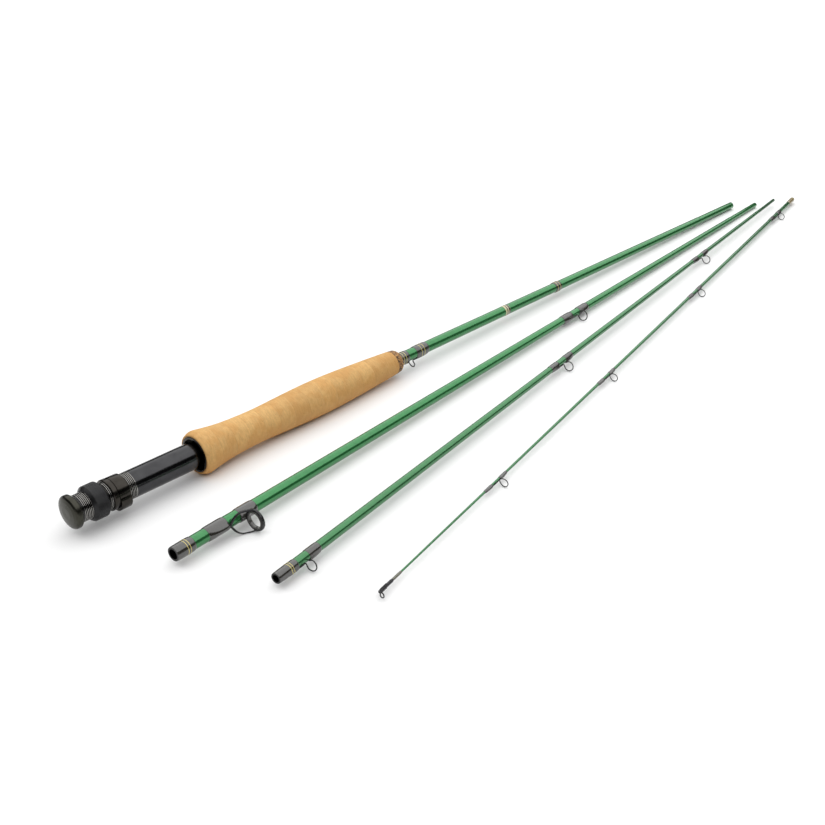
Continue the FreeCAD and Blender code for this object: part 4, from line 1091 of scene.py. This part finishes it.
# ------------------------------------------------------------------ guides
class FLYROD_OT_stripping_guide(bpy.types.Operator):
    """Make the large ringed guide nearest the hand, with its ceramic ring and its wraps."""

    bl_idname = "fly_rod.stripping_guide"
    bl_label = "Stripping guide"

    def execute(self, context):
        """A ring stands off the blank on a short front strut and two bent rear legs."""
        at, height, thick = 52.5, 12.0, 0.8
        under_rear, under_strut, under_front = blank_radius("second", [38.8, 48.0, 50.0])
        parts = [turned("second", [
            (at - 0.85, 5.8), (at - 0.85, 7.35), (at + 0.85, 7.35), (at + 0.85, 5.8),
        ], 0.35, 120, height)]
        for wide_end, tip_end in ((39.4, 25.2), (47.8, 60.6)):
            station = np.linspace(wide_end, tip_end, 20)
            share = np.linspace(0, 1, 20)
            out = blank_radius("second", station) + 0.03 + 0.4 * (1 - 0.5 * share)
            path = np.column_stack([station, out, np.zeros(20)])
            parts.append(rod("second", path, 0.4 * (1 - 0.5 * share), 1.2 - 0.85 * share, (0, 1, 0), 24))
        strut = curve_through(
            [(48.2, under_strut + 0.4, 0), (49.6, under_front + 0.55, 0), (52.5, height - 6.5, 0)],
            [(1, 0.05, 0), (1, 0.2, 0), (1, 0.25, 0)], 8,
        )
        parts.append(rod("second", strut, np.linspace(0.4, 0.55, len(strut)), 1.1, (-0.2, 1, 0), 24))
        foot = 39.4
        low = under_rear + thick / 2 + 0.1
        run, rise = at - foot, height - low
        for side in (1, -1):
            leg = curve_through(
                [
                    (foot - 1.2, low - 0.1, side * 0.2), (foot, low, side * 0.5),
                    (foot + run * 0.2, low + rise * 0.17, side * 4.8),
                    (foot + run * 0.54, low + rise * 0.5, side * 7.5), (at, height, side * 6.95),
                ],
                [
                    (1, 0, 0.2 * side), (1, 0.5, 1.3 * side), (1, 0.6, 1.3 * side), (1, 0.6, 0),
                    (1, 0.55, -0.42 * side),
                ],
                12,
            )
            width = np.linspace(0.85, 0.7, len(leg))
            parts.append(rod("second", leg, 0.36, width, (-0.6, 1, 0.9 * side), 20))
        piece(
            "stripping_frame", parts, "section_2", plated("second"),
            ["stripping_guide_frame"], 45,
        )
        ring = turned("second", [
            (at - 1.25, 5.0), (at - 1.25, 5.55), (at - 1.05, 5.8), (at + 1.05, 5.8), (at + 1.25, 5.55),
            (at + 1.25, 5.0), (at + 0.75, 4.75), (at - 0.75, 4.75),
        ], 0.4, 120, height)
        piece("stripping_ceramic", [ring], "section_2", ceramic(), ["stripping_guide_ring"], 60)
        wraps = [
            Wrap("second", 23.8, 38.8, foot="end", height=1.45, spread=1.9),
            Wrap("second", 48.4, 62.0, foot="start", height=1.15, spread=1.9),
        ]
        wound("stripping_windings", wraps, ["stripping_guide_wraps"])
        return {"FINISHED"}


SNAKES = (
    ("second", 2, 409.6, 4.0, 0.1),
    ("third", 3, 20.9, 3.2, 0.5),
    ("third", 4, 312.7, 3.3, 0.75),
    ("third", 5, 552.6, 3.2, 1.1),
    ("tip", 6, 667.0, 3.2, 0.1),
    ("tip", 7, 465.0, 3.3, 0.4),
    ("tip", 8, 294.4, 3.1, 0.7),
    ("tip", 9, 132.2, 3.1, 0.7),
)
SNAKE_SIZES = {
    "second": {"gap": 9.8, "foot": 8.0, "wrap": 12.4, "wire": 0.42, "thick": 0.42},
    "third": {"gap": 9.6, "foot": 6.6, "wrap": 10.2, "wire": 0.38, "thick": 0.24},
    "tip": {"gap": 9.6, "foot": 5.6, "wrap": 9.0, "wire": 0.32, "thick": 0.24},
}


def snake(section, at, loop, rise):
    """One snake guide: flattened feet on the blank and one turn of wire between them.

    Seen along the blank the turn is a circle; along the blank it advances evenly with the angle.
    It leans towards the second foot, so the first foot runs on to meet it.
    """
    sizes = SNAKE_SIZES[section]
    wire, advance, lean, lead = sizes["wire"], 2.4, 1.7, 0.7
    start = lean - advance / 2 - lead
    hand = 1 if section == "tip" else -1
    half = sizes["gap"] / 2 - 1.0
    reach = sizes["gap"] / 2 + sizes["foot"]
    near, far = (float(blank_radius(section, at + sign * reach)) + wire + 0.03 for sign in (-1, 1))
    slope = (far - near) / (2 * reach)
    base = (near + far) / 2
    turn = np.radians([70.0, 125.0, 180.0, 235.0, 290.0])
    centre = base + rise + loop
    stops = np.column_stack([
        at + lean + advance * (turn / (2 * math.pi) - 0.5),
        centre - loop * np.cos(turn), hand * loop * np.sin(turn),
    ])
    heading = np.column_stack([
        np.full(5, advance / (2 * math.pi)), loop * np.sin(turn), hand * loop * np.cos(turn),
    ])
    feet = np.array([-reach, start, half, reach])
    ends = np.column_stack([at + feet, base + slope * feet, np.zeros(4)])
    level = np.array([[1.0, slope, 0.0]] * 2)
    path = curve_through(
        np.concatenate([ends[:2], stops, ends[2:]]), np.concatenate([level, heading, level]), 16,
    )
    along = np.abs(path[:, 0] - at)
    flat = np.clip((along - half) / (reach - half), 0, 1) * (np.abs(path[:, 1] - base) < 0.4)
    height = wire * (1 - 0.5 * flat)
    path[:, 1] -= wire - height
    up = np.column_stack([np.zeros(len(path)), np.ones(len(path)), np.zeros(len(path))])
    bent = np.clip((np.abs(path[:, 1] - base) - 0.2) / 1.2, 0, 1)[:, None]
    return rod(section, path, height, wire * (1 + 0.5 * flat), up * (1 - bent) + np.array([1.0, 0, 0]) * bent)


class FLYROD_OT_snake_guides(bpy.types.Operator):
    """Make the eight snake guides and the wraps that hold their feet."""

    bl_idname = "fly_rod.snake_guides"
    bl_label = "Snake guides"

    def execute(self, context):
        """The third section's first rear wrap belongs to its ferrule and is left out here."""
        wraps = {"second": [], "third": [], "tip": []}
        for section, number, at, loop, rise in SNAKES:
            sizes = SNAKE_SIZES[section]
            piece(
                f"snake_wire_{number}", [snake(section, at, loop, rise)], BODIES[section], plated(section),
                [f"snake_guide_{number}"], 60,
            )
            gap = sizes["gap"] / 2
            bulge = 2 * sizes["wire"] + 0.23 - sizes["thick"]
            rear = (at - gap - sizes["wrap"], at - gap, sizes["thick"], "end", bulge, 2.4 * sizes["wire"])
            front = (at + gap, at + gap + sizes["wrap"], sizes["thick"], "start", bulge, 2.4 * sizes["wire"])
            ends = (front,) if number == 3 else (rear, front)
            wraps[section] += [Wrap(section, *end) for end in ends]
        for section, group in wraps.items():
            wound(section + "_guide_windings", group, [section + "_guide_wraps"])
        return {"FINISHED"}


class FLYROD_OT_tip_top(bpy.types.Operator):
    """Make the tip-top: its tube, its wire loop and the wrap behind it."""

    bl_idname = "fly_rod.tip_top"
    bl_label = "Tip-top"

    def execute(self, context):
        """The loop's two legs lie along the tube's sides and rise into a pear-shaped eye."""
        tube = turned("tip", [
            (2.6, 0.02), (2.6, 0.8), (3.2, 1.05), (14.6, 1.05), (15.6, 0.95),
            (15.6, blank_radius("tip", 15.6)),
            (6.0, blank_radius("tip", 6.0)), (6.0, 0.02),
        ], 0.12, 48)
        black = plated("tip")
        piece("top_tube", [tube], "tip", black, ["tip_top_tube"])
        seat = 1.05 + 0.36 + 0.02
        loop = curve_through(
            [
                (9.6, 0, seat), (4.0, 0, seat), (1.2, 2.5, 1.75), (0.85, 4.25, 0), (1.2, 2.5, -1.75),
                (4.0, 0, -seat), (9.6, 0, -seat),
            ],
            [
                (-1, 0, 0), (-1, 0, 0), (-0.25, 1, 0.05), (0, 0, -1), (0.25, -1, 0.05), (1, 0, 0),
                (1, 0, 0),
            ], 16,
        )
        eye = rod("tip", loop, 0.36, 0.36, (1.0, 1.0, 0.02))
        piece("top_eye", [eye], "tip", black, ["tip_top_loop"])
        olive = (0.062, 0.062, 0.034)
        wound("top_winding", [Wrap("tip", 15.6, 24.5, 0.24)], ["tip_top_wrap"], olive)
        return {"FINISHED"}


# ------------------------------------------------------------------ pieces kept from the frame
class FLYROD_OT_kept(bpy.types.Operator):
    """Finish the inner pieces that keep their own shape."""

    bl_idname = "fly_rod.kept"
    bl_label = "Inner pieces"

    def execute(self, context):
        """The arbors get foam and the lock nut's inner ring gets plastic."""
        for node, material in (("seat_arbors", inner_foam()), ("lock_nut_friction_ring", friction_plastic())):
            kept = frame["nodes"][node].data.materials
            kept.clear()
            kept.append(material)
        return {"FINISHED"}


# ------------------------------------------------------------------ stage
def paper():
    """Seamless pale paper with a very faint tooth."""
    finish = Finish("paper")
    tooth = finish.noise(finish.place, 900.0, 2.0)
    tone = tuple(settings("stage").floor)
    tint = finish.blend(tooth, tone, tuple(c * 0.985 for c in tone))
    finish.bump(tooth, 0.02, 0.05)
    return finish.surface(Base_Color=tint, Roughness=0.9, Specular_IOR_Level=0.1)


class FLYROD_OT_stage(bpy.types.Operator):
    """Set up the floor, the lights, the surroundings and the camera."""

    bl_idname = "fly_rod.stage"
    bl_label = "Stage"

    def execute(self, context):
        """A wide overhead softbox over a pale floor, dim surroundings, and a camera on the left."""
        stage = settings("stage")
        scene = context.scene
        half = 6.0
        mesh = bpy.data.meshes.new("floor")
        low = min(CAD_BOX[0][2], 0.0)
        corners = [(-half, -half, low), (half, -half, low), (half, half, low), (-half, half, low)]
        mesh.from_pydata(corners, [], [(0, 1, 2, 3)])
        mesh.materials.append(paper())
        floor = bpy.data.objects.new("floor", mesh)
        scene.collection.objects.link(floor)
        light = bpy.data.lights.new("softbox", "AREA")
        light.shape = "SQUARE"
        light.size = 7.0
        light.energy = stage.softbox
        box = bpy.data.objects.new("softbox", light)
        box.location = (0.8, 0.7, 2.0)
        scene.collection.objects.link(box)
        world = bpy.data.worlds.new("surroundings")
        world.use_nodes = True
        world.node_tree.nodes["Background"].inputs["Color"].default_value = (0.03, 0.03, 0.03, 1.0)
        scene.world = world
        scene.view_settings.view_transform = "Standard"
        scene.view_settings.look = "None"
        lens = bpy.data.cameras.new("camera")
        lens.lens = stage.lens
        lens.shift_x, lens.shift_y = -0.1376, -0.0074
        lens.clip_end = 50.0
        camera = bpy.data.objects.new("camera", lens)
        facing = Vector((
            math.cos(stage.dip) * math.cos(stage.heading), math.cos(stage.dip) * math.sin(stage.heading),
            -math.sin(stage.dip),
        ))
        right = facing.cross((0, 0, 1)).normalized()
        up = right.cross(facing)
        basis = Matrix((right, up, -facing)).transposed() @ Matrix.Rotation(-math.radians(0.5), 3, "Z")
        camera.matrix_world = Matrix.Translation((-0.7077, -0.5363, 0.4355)) @ basis.to_4x4()
        scene.collection.objects.link(camera)
        scene.camera = camera
        return {"FINISHED"}


OPERATORS = (
    FLYROD_OT_seat, FLYROD_OT_nuts, FLYROD_OT_hoods, FLYROD_OT_grip, FLYROD_OT_blanks, FLYROD_OT_butt_wraps,
    FLYROD_OT_ferrule_wraps, FLYROD_OT_stripping_guide, FLYROD_OT_snake_guides, FLYROD_OT_tip_top,
    FLYROD_OT_kept, FLYROD_OT_stage,
)


class FLYROD_PT_panel(bpy.types.Panel):
    """The settings and the operators, in the 3D view's sidebar."""

    bl_idname = "FLYROD_PT_panel"
    bl_label = "Fly Rod"
    bl_space_type = "VIEW_3D"
    bl_region_type = "UI"
    bl_category = "Fly Rod"

    def draw(self, context):
        """One line for each operator, then each group of settings."""
        for operator in OPERATORS:
            self.layout.operator(operator.bl_idname)
        for group in SETTINGS:
            kind = group.__name__.removesuffix("Settings").lower()
            box = self.layout.box()
            for name in group.__annotations__:
                box.prop(settings(kind), name)


def register():
    """Add the settings, the operators and the panel to Blender."""
    for group in SETTINGS:
        bpy.utils.register_class(group)
        kind = group.__name__.removesuffix("Settings").lower()
        setattr(bpy.types.Scene, "fly_rod_" + kind, bpy.props.PointerProperty(type=group))
    for kind in (*OPERATORS, FLYROD_PT_panel):
        bpy.utils.register_class(kind)


def unregister():
    """Take them away again."""
    for kind in reversed((*OPERATORS, FLYROD_PT_panel)):
        bpy.utils.unregister_class(kind)
    for group in reversed(SETTINGS):
        delattr(bpy.types.Scene, "fly_rod_" + group.__name__.removesuffix("Settings").lower())
        bpy.utils.unregister_class(group)


def main():
    """Build everything in order."""
    register()
    for operator in OPERATORS:
        group, name = operator.bl_idname.split(".")
        getattr(getattr(bpy.ops, group), name)()


if __name__ == "__main__":
    main()
